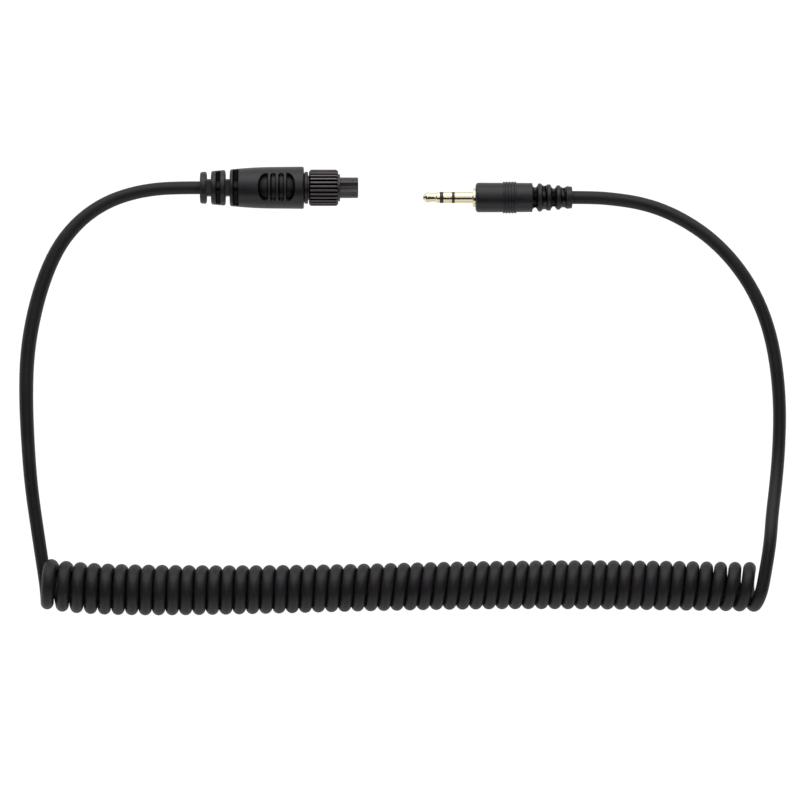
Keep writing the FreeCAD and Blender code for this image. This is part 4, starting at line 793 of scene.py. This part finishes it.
class RELEASECORD_OT_camera_moulding(bpy.types.Operator):
    """Moulding of the camera plug: slotted strain relief, body with its finger grip, and collar"""

    bl_idname = "release_cord.camera_moulding"
    bl_label = "Camera plug moulding"

    around = 320
    # Strain relief: radius at the exit and growth per mm, slots, windows, and the radius of the core
    # and the height of the flat floor in the windows.
    exit_radius, taper = 3.44, 0.091
    slots, slot_rim = ((1.45, 2.43), (5.58, 6.56)), 0.4
    windows, window_rows = ((3.475, 4.535), (7.21, 8.51)), 7
    core, window_floor = 1.92, 1.35
    # Webs across the slots: a bar of this half width and half height, cut to a round.
    web_half, web_reach, web_radius = 1.75, 3.3, 3.6
    # The body swells along an arc from the relief to its widest, then runs straight to its face.
    swell_start, swell_end = 8.51, 16.66
    start_radius, wide_radius = 4.21, 4.58
    face, face_radius, undercut = 22.8, 4.65, 3.3
    collar_start, collar_end, collar_radius = 23.02, 23.7, 3.53
    cavity_start, cavity_radius = 9.0, 2.9
    # Finger grip: the body's rows that it takes, radius of its floor, middles, half width and reach
    # of the middle pockets, then chord, length and direction of each end pocket, and the half height
    # and the power of their arcs.
    grip_start, grip_end, grip_least, grip_floor = 12.5, 21.5, 4.0, 3.88
    middles, pocket_half, pocket_reach = (16.125, 17.875), 0.575, 3.1
    end_pockets, end_high, end_power = ((14.95, 2.1, -1), (19.05, 1.85, 1)), 3.12, 2.3

    def relief(self, x):
        """Radius of the tapered strain relief at x, up to that at which the body starts."""
        return np.minimum(self.exit_radius + self.taper * x, self.start_radius)

    def outer(self):
        """Corners of the profile: from the cord's exit to the collar, then back along the inside."""
        core, rim, edge, root = self.core, self.slot_rim, 0.05, 0.08
        cuts = []
        for (start, end), (window_start, window_end) in zip(self.slots, self.windows):
            rows = np.linspace(window_start, window_end, self.window_rows)
            cuts += [
                (start, self.relief(start), rim),
                (start, core, root),
                (end, core, root),
                (end, self.relief(end), rim),
                (window_start, self.relief(window_start), edge),
                *((x, core, 0) for x in rows),
                (window_end, self.relief(window_end), edge),
            ]
        length, rise = self.swell_end - self.swell_start, self.wide_radius - self.start_radius
        bow = (length**2 + rise**2) / (2 * rise)
        middle = self.wide_radius - bow
        swell = np.linspace(self.swell_start, self.swell_end, 110)[1:-1]
        return [
            (0, SOLID_CORD_RADIUS, 0),
            (0, self.exit_radius, rim),
            *cuts,
            *((x, middle + math.sqrt(bow**2 - (self.swell_end - x) ** 2), 0) for x in swell),
            (self.swell_end, self.wide_radius, 0),
            (self.face, self.face_radius, 0.35),
            (self.face, self.undercut, 0),
            (self.collar_start, self.undercut, 0),
            (self.collar_start, self.collar_radius, 0.04),
            (self.collar_end, self.collar_radius, 0.15),
            (self.collar_end, NECK_RADIUS, 0),
            (FLANGE_END, NECK_RADIUS, 0),
            (FLANGE_END, FLANGE_RADIUS, 0),
            (FLANGE_START, FLANGE_RADIUS, 0),
            (FLANGE_START, self.cavity_radius, 0),
            (self.cavity_start, self.cavity_radius, 0),
            (self.cavity_start, SOLID_CORD_RADIUS, 0),
        ]

    def grip(self, x, y):
        """Signed distance to the nearest grip pocket, negative inside it, and its floor's painted light.

        The middle pockets are stadiums |(x - c, y beyond reach)| - half; each end pocket is half a
        superellipse (x / out)^p + (y / high)^p = 1 beyond its chord. Painted shade darkens a floor
        towards its walls, furthest at an end pocket's arc, and in a middle pocket on the cord's side.
        """
        half = self.pocket_half
        beyond = np.maximum(np.abs(y) - (self.pocket_reach - half), 0)
        best = np.full(np.broadcast(x, y).shape, np.inf)
        lit = np.zeros(best.shape)
        for centre in self.middles:
            slot = np.hypot(x - centre, beyond) - half
            floor = smooth(x - centre, -half + 0.1, -half + 0.5) * smooth(centre - x, -half, -half + 0.25)
            lit = np.where(slot < best, floor, lit)
            best = np.minimum(best, slot)
        high, power = self.end_high, self.end_power
        for chord, out, towards in self.end_pockets:
            off = (x - chord) * towards
            shape = ((np.maximum(off, 0) / out) ** power + np.abs(y / high) ** power) ** (1 / power)
            edge = (shape - 1) * (out + high) / 2
            pocket = np.maximum(edge, -off)
            floor = smooth(-edge, 0.0, 1.5) * smooth(off, 0.0, 0.3)
            lit = np.where(pocket < best, floor, lit)
            best = np.minimum(best, pocket)
        return best, lit

    def window_light(self, off, across):
        """Painted light on a window's floor, with a painted highlight bar beside its middle, fading to
        painted shade at the side walls.

        off is 0 at the window's middle and 1 at its side walls. across is y.
        """
        # Painted light: a plain shaded level, a little more towards -y, and the painted highlight bar.
        plain, far_gain, bar = 0.35, 0.1, 0.45
        light = plain + far_gain * smooth(-across, 0.5, 2.5) + bar * bell(across, 0.3, 0.35)
        return light * (1 - smooth(off, 0.45, 0.95))

    def execute(self, context):
        span = (self.grip_start - 0.1, self.grip_end + 0.1, self.grip_least)
        points = profile(self.outer(), longest=0.075, spans=[span])
        x, base = grid(points, self.around)
        angle = angles(self.around)
        cosine = np.maximum(np.abs(np.cos(angle)), TINY)
        sine = np.maximum(np.abs(np.sin(angle)), TINY)
        bar = np.minimum(self.web_half / cosine, self.web_reach / sine)
        web = np.minimum(bar, self.web_radius)
        radius = base.copy()
        for start, end in self.slots:
            near = (x >= start - self.slot_rim) & (x <= end + self.slot_rim)
            radius = np.where(near, np.maximum(radius, web), radius)
        # Painted light and shade, 1 where none is painted: painted shade in the windows and the grip's
        # pockets, and the full cavity shade on the hidden inside.
        painted_light = np.ones(radius.shape)
        flat = np.maximum(self.core, self.window_floor / sine)
        for start, end in self.windows:
            cut = (x >= start) & (x <= end) & (base < self.core + SLACK)
            radius = np.where(cut, np.minimum(flat, self.relief(x)), radius)
            off = np.abs(x - (start + end) / 2) / (end - start) * 2
            painted_light = np.where(cut, self.window_light(off, radius * np.cos(angle)), painted_light)
        distance, lit = self.grip(x, base * np.cos(angle))
        depth = 1 - smooth(distance, -0.12, 0.07)
        pocket = base - (base - self.grip_floor) * depth
        on_body = (x > self.grip_start) & (x < self.grip_end) & (base > self.grip_least)
        radius = np.where(on_body, np.minimum(base, pocket), radius)
        # Painted shade in the grip's pockets: loss darkens a pocket, gain gives back painted light where
        # its floor is lit.
        loss, gain = 0.95, 0.7
        painted_light = np.where(on_body, 1 - depth * (loss - gain * lit), painted_light)
        inner = (points[:, 1] < FLANGE_RADIUS + SLACK) & (points[:, 0] > self.cavity_start - SLACK)
        inner |= points[:, 1] < self.core - SLACK
        radius = np.where(inner[:, None], base, radius)
        painted_light[inner] = 0
        put(
            "camera_plug_moulding",
            [turned(points[:, 0], radius, CAMERA_PLUG_AT, self.around)],
            "cord_and_plugs",
            ["camera_plug_overmould"],
            vinyl(),
            painted_light=painted_light,
        )
        return {"FINISHED"}


class RELEASECORD_OT_camera_barrel(bpy.types.Operator):
    """Metal shell of the camera plug with its key flat, and the three contact pins inside it"""

    bl_idname = "release_cord.camera_barrel"
    bl_label = "Camera plug barrel and pins"

    around, pin_around = 192, 40
    shoulder, shoulder_radius = 28.9, 3.0
    start, mouth, radius, bore = 30.75, 34.75, 2.28, 1.86
    mouth_radius, mouth_rim, line_radius = 2.13, 0.03, 2.21
    # Hollow of the key flat: height of its rim, depth, half width, and height at which it ends.
    key_rim, key_depth, key_half, key_end = 2.02, 0.2, 1.05, 2.1
    # Pins: start, end of the thick tail and tip, radii of tail and pin, and radius of their circle.
    pin_start, tail_end, pin_end = 23.95, 28.15, 33.95
    tail_radius, pin_radius, pin_circle = 0.46, 0.26, 1.0

    def key(self):
        """Radius at which the key flat cuts each angle: z = rim - depth * (1 - (y / half)^2) on top."""
        angle = angles(self.around)
        least = 0.3
        sine = np.maximum(np.sin(angle), least)
        share = self.key_rim * np.cos(angle) / sine / self.key_half
        height = self.key_rim - self.key_depth * (1 - share**2)
        return np.where((sine > least) & (height < self.key_end), height / sine, np.inf)

    def shell(self):
        """The turned shell, whose barrel takes the lesser of its own radius and the key flat's."""
        corners = [
            (FLANGE_START, self.bore, 0),
            (FLANGE_START, FLANGE_RADIUS, 0),
            (FLANGE_END, FLANGE_RADIUS, 0),
            (FLANGE_END, NECK_RADIUS, 0),
            (self.shoulder, NECK_RADIUS, 0),
            (self.shoulder, self.shoulder_radius, 0.04),
            (self.start, self.shoulder_radius, 0.08),
            (self.start, self.radius, 0.05),
            (33.58, self.radius, 0.02),
            (33.62, self.line_radius, 0),
            (33.68, self.line_radius, 0),
            (33.72, self.radius, 0.02),
            (34.6, self.radius, 0.04),
            (self.mouth, self.mouth_radius, self.mouth_rim),
            (self.mouth, self.bore, self.mouth_rim),
            (31.75, self.bore, 0),
        ]
        points = profile(corners, longest=0.5)
        x, radius = grid(points, self.around)
        outside = (radius > self.bore + self.mouth_rim + SLACK) & (radius < self.radius + SLACK)
        cut = outside & (x > self.start - SLACK)
        radius = np.where(cut, np.minimum(radius, self.key()), radius)
        put(
            "camera_plug_barrel",
            [turned(points[:, 0], radius, CAMERA_PLUG_AT, self.around)],
            "cord_and_plugs",
            ["camera_plug_shell"],
            barrel_metal(),
        )

    def execute(self, context):
        self.shell()
        corners = [
            (self.pin_start, 0, 0),
            (self.pin_start, self.tail_radius, 0.05),
            (self.tail_end, self.tail_radius, 0),
            (self.tail_end, self.pin_radius, 0),
            (self.pin_end, self.pin_radius, 0.22),
            (self.pin_end, 0, 0),
        ]
        pin = profile(corners, closed=False)
        grids = []
        for index in range(3):
            place = math.radians(90 + 120 * index)
            centre = (self.pin_circle * math.cos(place), self.pin_circle * math.sin(place))
            grids.append(turned(pin[:, 0], pin[:, 1], CAMERA_PLUG_AT, self.pin_around, centre))
        put(
            "contact_pins_gold",
            grids,
            "cord_and_plugs",
            ["contact_pins"],
            plating(),
            closed=False,
        )
        return {"FINISHED"}


class RELEASECORD_OT_locking_ring(bpy.types.Operator):
    """Ridged locking ring with its inside thread"""

    bl_idname = "release_cord.locking_ring"
    bl_label = "Locking ring"

    top, face_radius, chamfer = 4.0, 3.6, 0.4
    bore, mouth_start, mouth, lead_in = 2.76, 25.25, 3.06, 0.2
    # Groove of the friction clip: from x, to x, radius.
    clip_start, clip_end, clip_radius = 24.36, 24.84, 3.16
    # Thread: depth, rows per pitch, and the stretches of x in which it sets in and fades out.
    thread_depth, rows_per_pitch = 0.17, 8
    thread_in, thread_out = (25.45, 25.95), (29.9, 30.15)
    # Columns per ridge, column of the first groove, half a groove as a share of a ridge, and the
    # power that rounds a ridge.
    per_ridge, first_groove, half_groove, roundness = 12, 4, 0.36, 1.4
    # How far from either end the painted shade in the grooves widens, so that the ridges look
    # pointed, and the painted light inside the ring.
    point_reach, inside_light = 0.8, 0.35

    def thread(self, x, around, pitch):
        """Depth of the thread: a triangle wave of x / pitch - a / (2 pi), fading at both ends."""
        along = x / pitch - angles(around) / (2 * math.pi)
        wave = 2 * np.abs(along - np.floor(along) - 0.5)
        ends = smooth(x, *self.thread_in) * (1 - smooth(x, *self.thread_out))
        return self.thread_depth * wave * ends

    def execute(self, context):
        sizes = settings().camera_plug
        around = sizes.ridges * self.per_ridge
        pitch = sizes.thread_pitch / MM
        root = self.top - sizes.ridge_depth / MM
        lip = RING_END - self.lead_in
        corners = [
            (RING_START, self.bore, 0.05),
            (RING_START, self.face_radius, 0.08),
            (RING_START + self.chamfer, self.top, 0.1),
            (RING_END - self.chamfer, self.top, 0.1),
            (RING_END, self.face_radius, 0.08),
            (RING_END, self.mouth + self.lead_in, 0),
            (lip, self.mouth, 0),
        ]
        chamfers = [
            (RING_START, RING_START + self.chamfer, self.face_radius),
            (RING_END - self.chamfer, RING_END, self.face_radius),
        ]
        outside = profile(corners, longest=0.12, spans=chamfers)
        wall_x = np.arange(lip, self.thread_in[0], -pitch / self.rows_per_pitch)[1:]
        wall = np.stack([wall_x, np.full(len(wall_x), self.mouth)], axis=1)
        back = [
            (self.mouth_start, self.mouth),
            (self.mouth_start, self.bore),
            (self.clip_end, self.bore),
            (self.clip_end, self.clip_radius),
            (self.clip_start, self.clip_radius),
            (self.clip_start, self.bore),
        ]
        points = np.concatenate([outside, wall, back])
        x, radius = grid(points, around)
        row = np.arange(len(points))[:, None]
        share = ((np.arange(around) - self.first_groove) % self.per_ridge) / self.per_ridge
        rise = np.clip(np.minimum(share, 1 - share) / self.half_groove, 0, 1)
        ridge = root + (self.top - root) * (1 - (1 - rise) ** self.roundness)
        is_outside = (row < len(outside)) & (radius > root)
        on_wall = (row >= len(outside)) & (row < len(outside) + len(wall))
        radius = np.where(is_outside, np.minimum(radius, ridge), radius)
        radius = np.where(on_wall, self.mouth + self.thread(x, around, pitch), radius)
        # Painted shade darkens the grooves between the ridges, more widely towards both ends; the inside
        # of the ring gets a plain painted shade.
        point = 1 - np.clip(np.minimum(x - RING_START, RING_END - x) / self.point_reach, 0, 1)
        lit = smooth(rise, 0.42 + 0.4 * point, 0.85 + 0.3 * point)
        put(
            "locking_ring_ridged",
            [turned(points[:, 0], radius, CAMERA_PLUG_AT, around)],
            "locking_ring",
            ["locking_ring"],
            ring_metal(),
            painted_light=np.where(is_outside, lit, self.inside_light),
        )
        return {"FINISHED"}


class RELEASECORD_OT_jack_contacts(bpy.types.Operator):
    """Gold contacts of the jack and the dark rings between them"""

    bl_idname = "release_cord.jack_contacts"
    bl_label = "Jack contacts"

    around = 128
    edge = 0.03
    # Back of the tip, end and radius of its rod, and the barrel's radius.
    tip_back, rod_end, rod_radius, radius = 3.8, 14.74, 0.4, 1.25
    # Rings from the tip: piece, node, ends of head and stem, radius of the stem, and whether gold.
    rings = (
        ("jack_tip_ring", "jack_tip_insulator", 4.55, 14.29, 0.6, False),
        ("jack_ring_gold", "jack_ring_contact", 6.45, 13.79, 0.8, True),
        ("jack_sleeve_ring", "jack_ring_insulator", 7.05, 13.14, 1.0, False),
    )
    flange_start, flange_radius = 11.05, 2.05

    def contact(self, name, node, corners, gold=True, longest=None, closed=True):
        """One turned piece of the jack from its corners, gold or insulating plastic."""
        points = profile(corners, longest, closed)
        put(
            name,
            [turned(points[:, 0], points[:, 1], JACK_AT, self.around)],
            "cord_and_plugs",
            [node],
            plating() if gold else gloss_insulator(),
            closed,
        )

    def execute(self, context):
        tip = [
            (0, 0, 0),
            (0, 0.42, 0.40),
            (0.9, 1.16, 0.35),
            (2.62, 0.95, 0.3),
            (2.9, 0.95, 0.1),
            (3.1, 1.16, 0.06),
            (self.tip_back, 1.2, self.edge),
            (self.tip_back, self.rod_radius, 0),
            (self.rod_end, self.rod_radius, 0),
            (self.rod_end, 0, 0),
        ]
        self.contact("jack_tip_gold", "jack_tip", tip, longest=0.12, closed=False)
        start, bore = self.tip_back, self.rod_radius
        for name, node, head_end, stem_end, stem, gold in self.rings:
            ring = [
                (start, bore, 0),
                (start, self.radius, self.edge),
                (head_end, self.radius, self.edge),
                (head_end, stem, 0),
                (stem_end, stem, 0),
                (stem_end, bore, 0),
            ]
            self.contact(name, node, ring, gold)
            start, bore = head_end, stem
        sleeve = [
            (start, bore, 0),
            (start, self.radius, self.edge),
            (self.flange_start, self.radius, 0.12),
            (self.flange_start, self.flange_radius, 0.1),
            (SLEEVE_BACK, self.flange_radius, 0.04),
            (SLEEVE_BACK, SLEEVE_RADIUS, 0),
            (stem_end, SLEEVE_RADIUS, 0),
            (stem_end, bore, 0),
        ]
        self.contact("jack_sleeve_gold", "jack_sleeve", sleeve)
        return {"FINISHED"}


class RELEASECORD_OT_jack_moulding(bpy.types.Operator):
    """Moulding of the jack: ribbed band, finned strain relief with its windows and struts"""

    bl_idname = "release_cord.jack_moulding"
    bl_label = "Jack moulding"

    around = 320
    # Band: ends and radius, number and pitch of its grooves, their radius, width and wall.
    band_start, band_end, band_radius = 17.65, 20.64, 3.5
    band_grooves, band_pitch = 4, 0.65
    band_valley, band_width, band_wall = 3.34, 0.26, 0.05
    # Fins: radius of the first one and loss of it per mm.
    fin_radius, fin_taper = 3.15, 0.1
    # Grooves between the fins: from x, to x, radius, side of the open window (1 towards -y), and
    # roundings of the two corners.
    grooves = (
        (24.15, 25.35, 2.24, 1, (0.25, 0.35)),
        (26.25, 27.35, 2.58, -1, (0.15, 0.15)),
        (28.25, 29.45, 1.98, 1, (0.35, 0.35)),
        (30.35, 31.55, 2.15, -1, (0.12, 0.12)),
    )
    # Windows: radius of the floor, angles off the top of both ends, slant of the middle line, and by
    # side the half width and the height of the web's saddle, with how soon that fades on a wall.
    floor, slant = 1.6, 0.19
    near_end, far_end = math.radians(40), math.radians(85)
    window_half = {1: 0.56, -1: 0.5}
    saddle_rise, saddle_fade = {1: 0.5, -1: 0.25}, 1.6
    cavity_start, cavity_end, cavity_radius = 11.94, 24.0, 2.62

    def fin(self, x):
        """Radius of the fins at x."""
        return self.fin_radius - self.fin_taper * (x - self.grooves[0][1])

    def outer(self):
        """Corners of the profile: from the flange to the cord's exit, then back along the inside."""
        soft, crisp = 0.3, 0.08
        ribs = []
        for index in range(self.band_grooves):
            start = self.band_start + self.band_pitch * (index + 1) - self.band_width
            end = start + self.band_width
            ribs += [
                (start, self.band_radius, 0.07),
                (start + self.band_wall, self.band_valley, 0.05),
                (end - self.band_wall, self.band_valley, 0.05),
                (end, self.band_radius, 0.07),
            ]
        fins = []
        for start, end, valley, _, (first, second) in self.grooves:
            fins += [
                (start, self.fin(start), soft),
                (start, valley, first),
                (end, valley, second),
                (end, self.fin(end), soft),
            ]
        # The first groove starts at the smooth stretch behind the band, not at a fin.
        fins[0] = (self.grooves[0][0], 3.2, crisp)
        return [
            (SLEEVE_BACK, SLEEVE_RADIUS, 0),
            (SLEEVE_BACK, 3.27, 0.7),
            (self.band_start, 3.235, crisp),
            (self.band_start + self.band_wall, self.band_radius, 0.12),
            *ribs,
            (self.band_end - self.band_wall, self.band_radius, 0.12),
            (self.band_end, 3.22, crisp),
            *fins,
            (JACK_LENGTH, 2.39, soft),
            (JACK_LENGTH, SOLID_CORD_RADIUS, 0),
            (self.cavity_end, SOLID_CORD_RADIUS, 0),
            (self.cavity_end, self.cavity_radius, 0),
            (self.cavity_start, self.cavity_radius, 0),
            (self.cavity_start, SLEEVE_RADIUS, 0),
        ]

    def saddle(self, x, base, start, end, valley, rise):
        """Height of the web in a groove: rise * u^2, u from 0 at the middle to 1 at either fin.

        On a fin's wall it fades out upwards, so that the wall's rows stay apart.
        """
        u = np.minimum(np.abs(x - (start + end) / 2) / (end - start) * 2, 1)
        return rise * u**2 * (1 - np.clip((base - valley) / (self.saddle_fade * rise), 0, 1))

    def window(self, x, start, end, side):
        """How far each point lies in a groove's window, and the painted light on its floor, 0 to 1.

        A window opens from its near end on one side of the top to its far end on the other, and
        again on the opposite face; its middle line slants with y = cos a. On side 1 painted light
        lies on the floor towards the body; on the other a painted lit sliver runs along the middle line.
        """
        angle = angles(self.around)
        top = angle % math.pi - math.pi / 2
        to_end = np.minimum(top * side + self.near_end, self.far_end - top * side)
        middle = (start + end) / 2
        half = self.window_half[side]
        slant = -self.slant * np.cos(angle)
        if side > 0:
            slant = slant * smooth(x, start + 0.5, end)
        off = np.abs(x - slant - middle)
        opened = smooth(to_end, -0.05, 0.12) * (1 - smooth(off, half - 0.12, half + 0.02))
        if side > 0:
            lit = 0.15 + 0.35 * smooth(middle - x, -0.1, 0.4) * smooth(top, -0.1, 0.7)
        else:
            ends = 0.35 + 0.5 * smooth(np.abs(top - 0.35), 0.35, 0.8)
            lit = ends * (1 - smooth(off, 0.15, 0.33))
        return opened, lit

    def execute(self, context):
        spans = [(start + SLACK, end - SLACK, 1.9) for start, end, *_ in self.grooves]
        points = profile(self.outer(), longest=0.07, spans=spans)
        x, base = grid(points, self.around)
        rows = np.arange(len(points))
        at_exit = points[:, 0] > JACK_LENGTH - SLACK
        turn = np.argmax(at_exit & (points[:, 1] < SOLID_CORD_RADIUS + SLACK))
        inner = (rows >= turn) | (rows == 0)
        radius = base.copy()
        # Painted light and shade, 1 where none is painted: painted shade on the windows' floors, and the
        # full cavity shade on the hidden inside.
        painted_light = np.ones(radius.shape)
        for start, end, valley, side, _ in self.grooves:
            opened, lit = self.window(x, start, end, side)
            web = self.saddle(x, base, start, end, valley, self.saddle_rise[side])
            low = base - (base - self.floor) * opened * (base < valley + 2 * SLACK)
            cut = (x >= start) & (x <= end) & ~inner[:, None]
            radius = np.where(cut, low + web * (1 - opened), radius)
            here = (x > start - 0.25) & (x < end + 0.25) & (base < valley + 0.35)
            painted_light = np.where(here, 1 - opened * (1 - lit), painted_light)
        painted_light[inner] = 0
        put(
            "jack_moulding",
            [turned(points[:, 0], radius, JACK_AT, self.around)],
            "cord_and_plugs",
            ["jack_overmould"],
            vinyl(),
            painted_light=painted_light,
        )
        return {"FINISHED"}


class RELEASECORD_OT_inner_parts(bpy.types.Operator):
    """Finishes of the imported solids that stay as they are, most of them inside the plugs"""

    bl_idname = "release_cord.inner_parts"
    bl_label = "Inner parts"

    def execute(self, context):
        finishes = {
            inner_plastic: ("camera_plug_inner_mould", "jack_inner_mould"),
            gloss_insulator: ("camera_plug_insulator", "jack_rear_insulator"),
            wire_insulation: ("camera_plug_wires", "jack_wires"),
            tinned_brass: ("camera_plug_crimp", "jack_tip_lug", "jack_ring_lug", "jack_cable_clamp"),
            spring_steel: ("ring_friction_clip",),
            jacket: ("camera_plug_cord_end", "jack_cord_end"),
        }
        for finish, nodes in finishes.items():
            for node in nodes:
                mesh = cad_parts[node].data
                mesh.materials.clear()
                mesh.materials.append(finish())
        return {"FINISHED"}


class RELEASECORD_PT_panel(bpy.types.Panel):
    """Lists the steps that build the cord"""

    bl_label = "Release cord"
    bl_idname = "RELEASECORD_PT_panel"
    bl_space_type = "VIEW_3D"
    bl_region_type = "UI"
    bl_category = "Release Cord"

    def draw(self, context):
        for operator in OPERATORS:
            self.layout.operator(operator.bl_idname)
        choice = settings()
        for group in (choice.cord, choice.camera_plug, choice.jack, choice.stage):
            box = self.layout.box()
            for name in group.bl_rna.properties.keys():
                if name not in ("rna_type", "name"):
                    box.prop(group, name)


OPERATORS = (
    RELEASECORD_OT_stage,
    RELEASECORD_OT_cord,
    RELEASECORD_OT_camera_moulding,
    RELEASECORD_OT_camera_barrel,
    RELEASECORD_OT_locking_ring,
    RELEASECORD_OT_jack_contacts,
    RELEASECORD_OT_jack_moulding,
    RELEASECORD_OT_inner_parts,
)
GROUPS = (CordSettings, CameraPlugSettings, JackSettings, StageSettings, ReleaseCordSettings)
CLASSES = (*GROUPS, *OPERATORS, RELEASECORD_PT_panel)


def register():
    for item in CLASSES:
        bpy.utils.register_class(item)
    bpy.types.Scene.release_cord = PointerProperty(type=ReleaseCordSettings)


def unregister():
    del bpy.types.Scene.release_cord
    for item in reversed(CLASSES):
        bpy.utils.unregister_class(item)


def main():
    register()
    for operator in OPERATORS:
        group, name = operator.bl_idname.split(".")
        getattr(getattr(bpy.ops, group), name)()


if __name__ == "__main__":
    main()
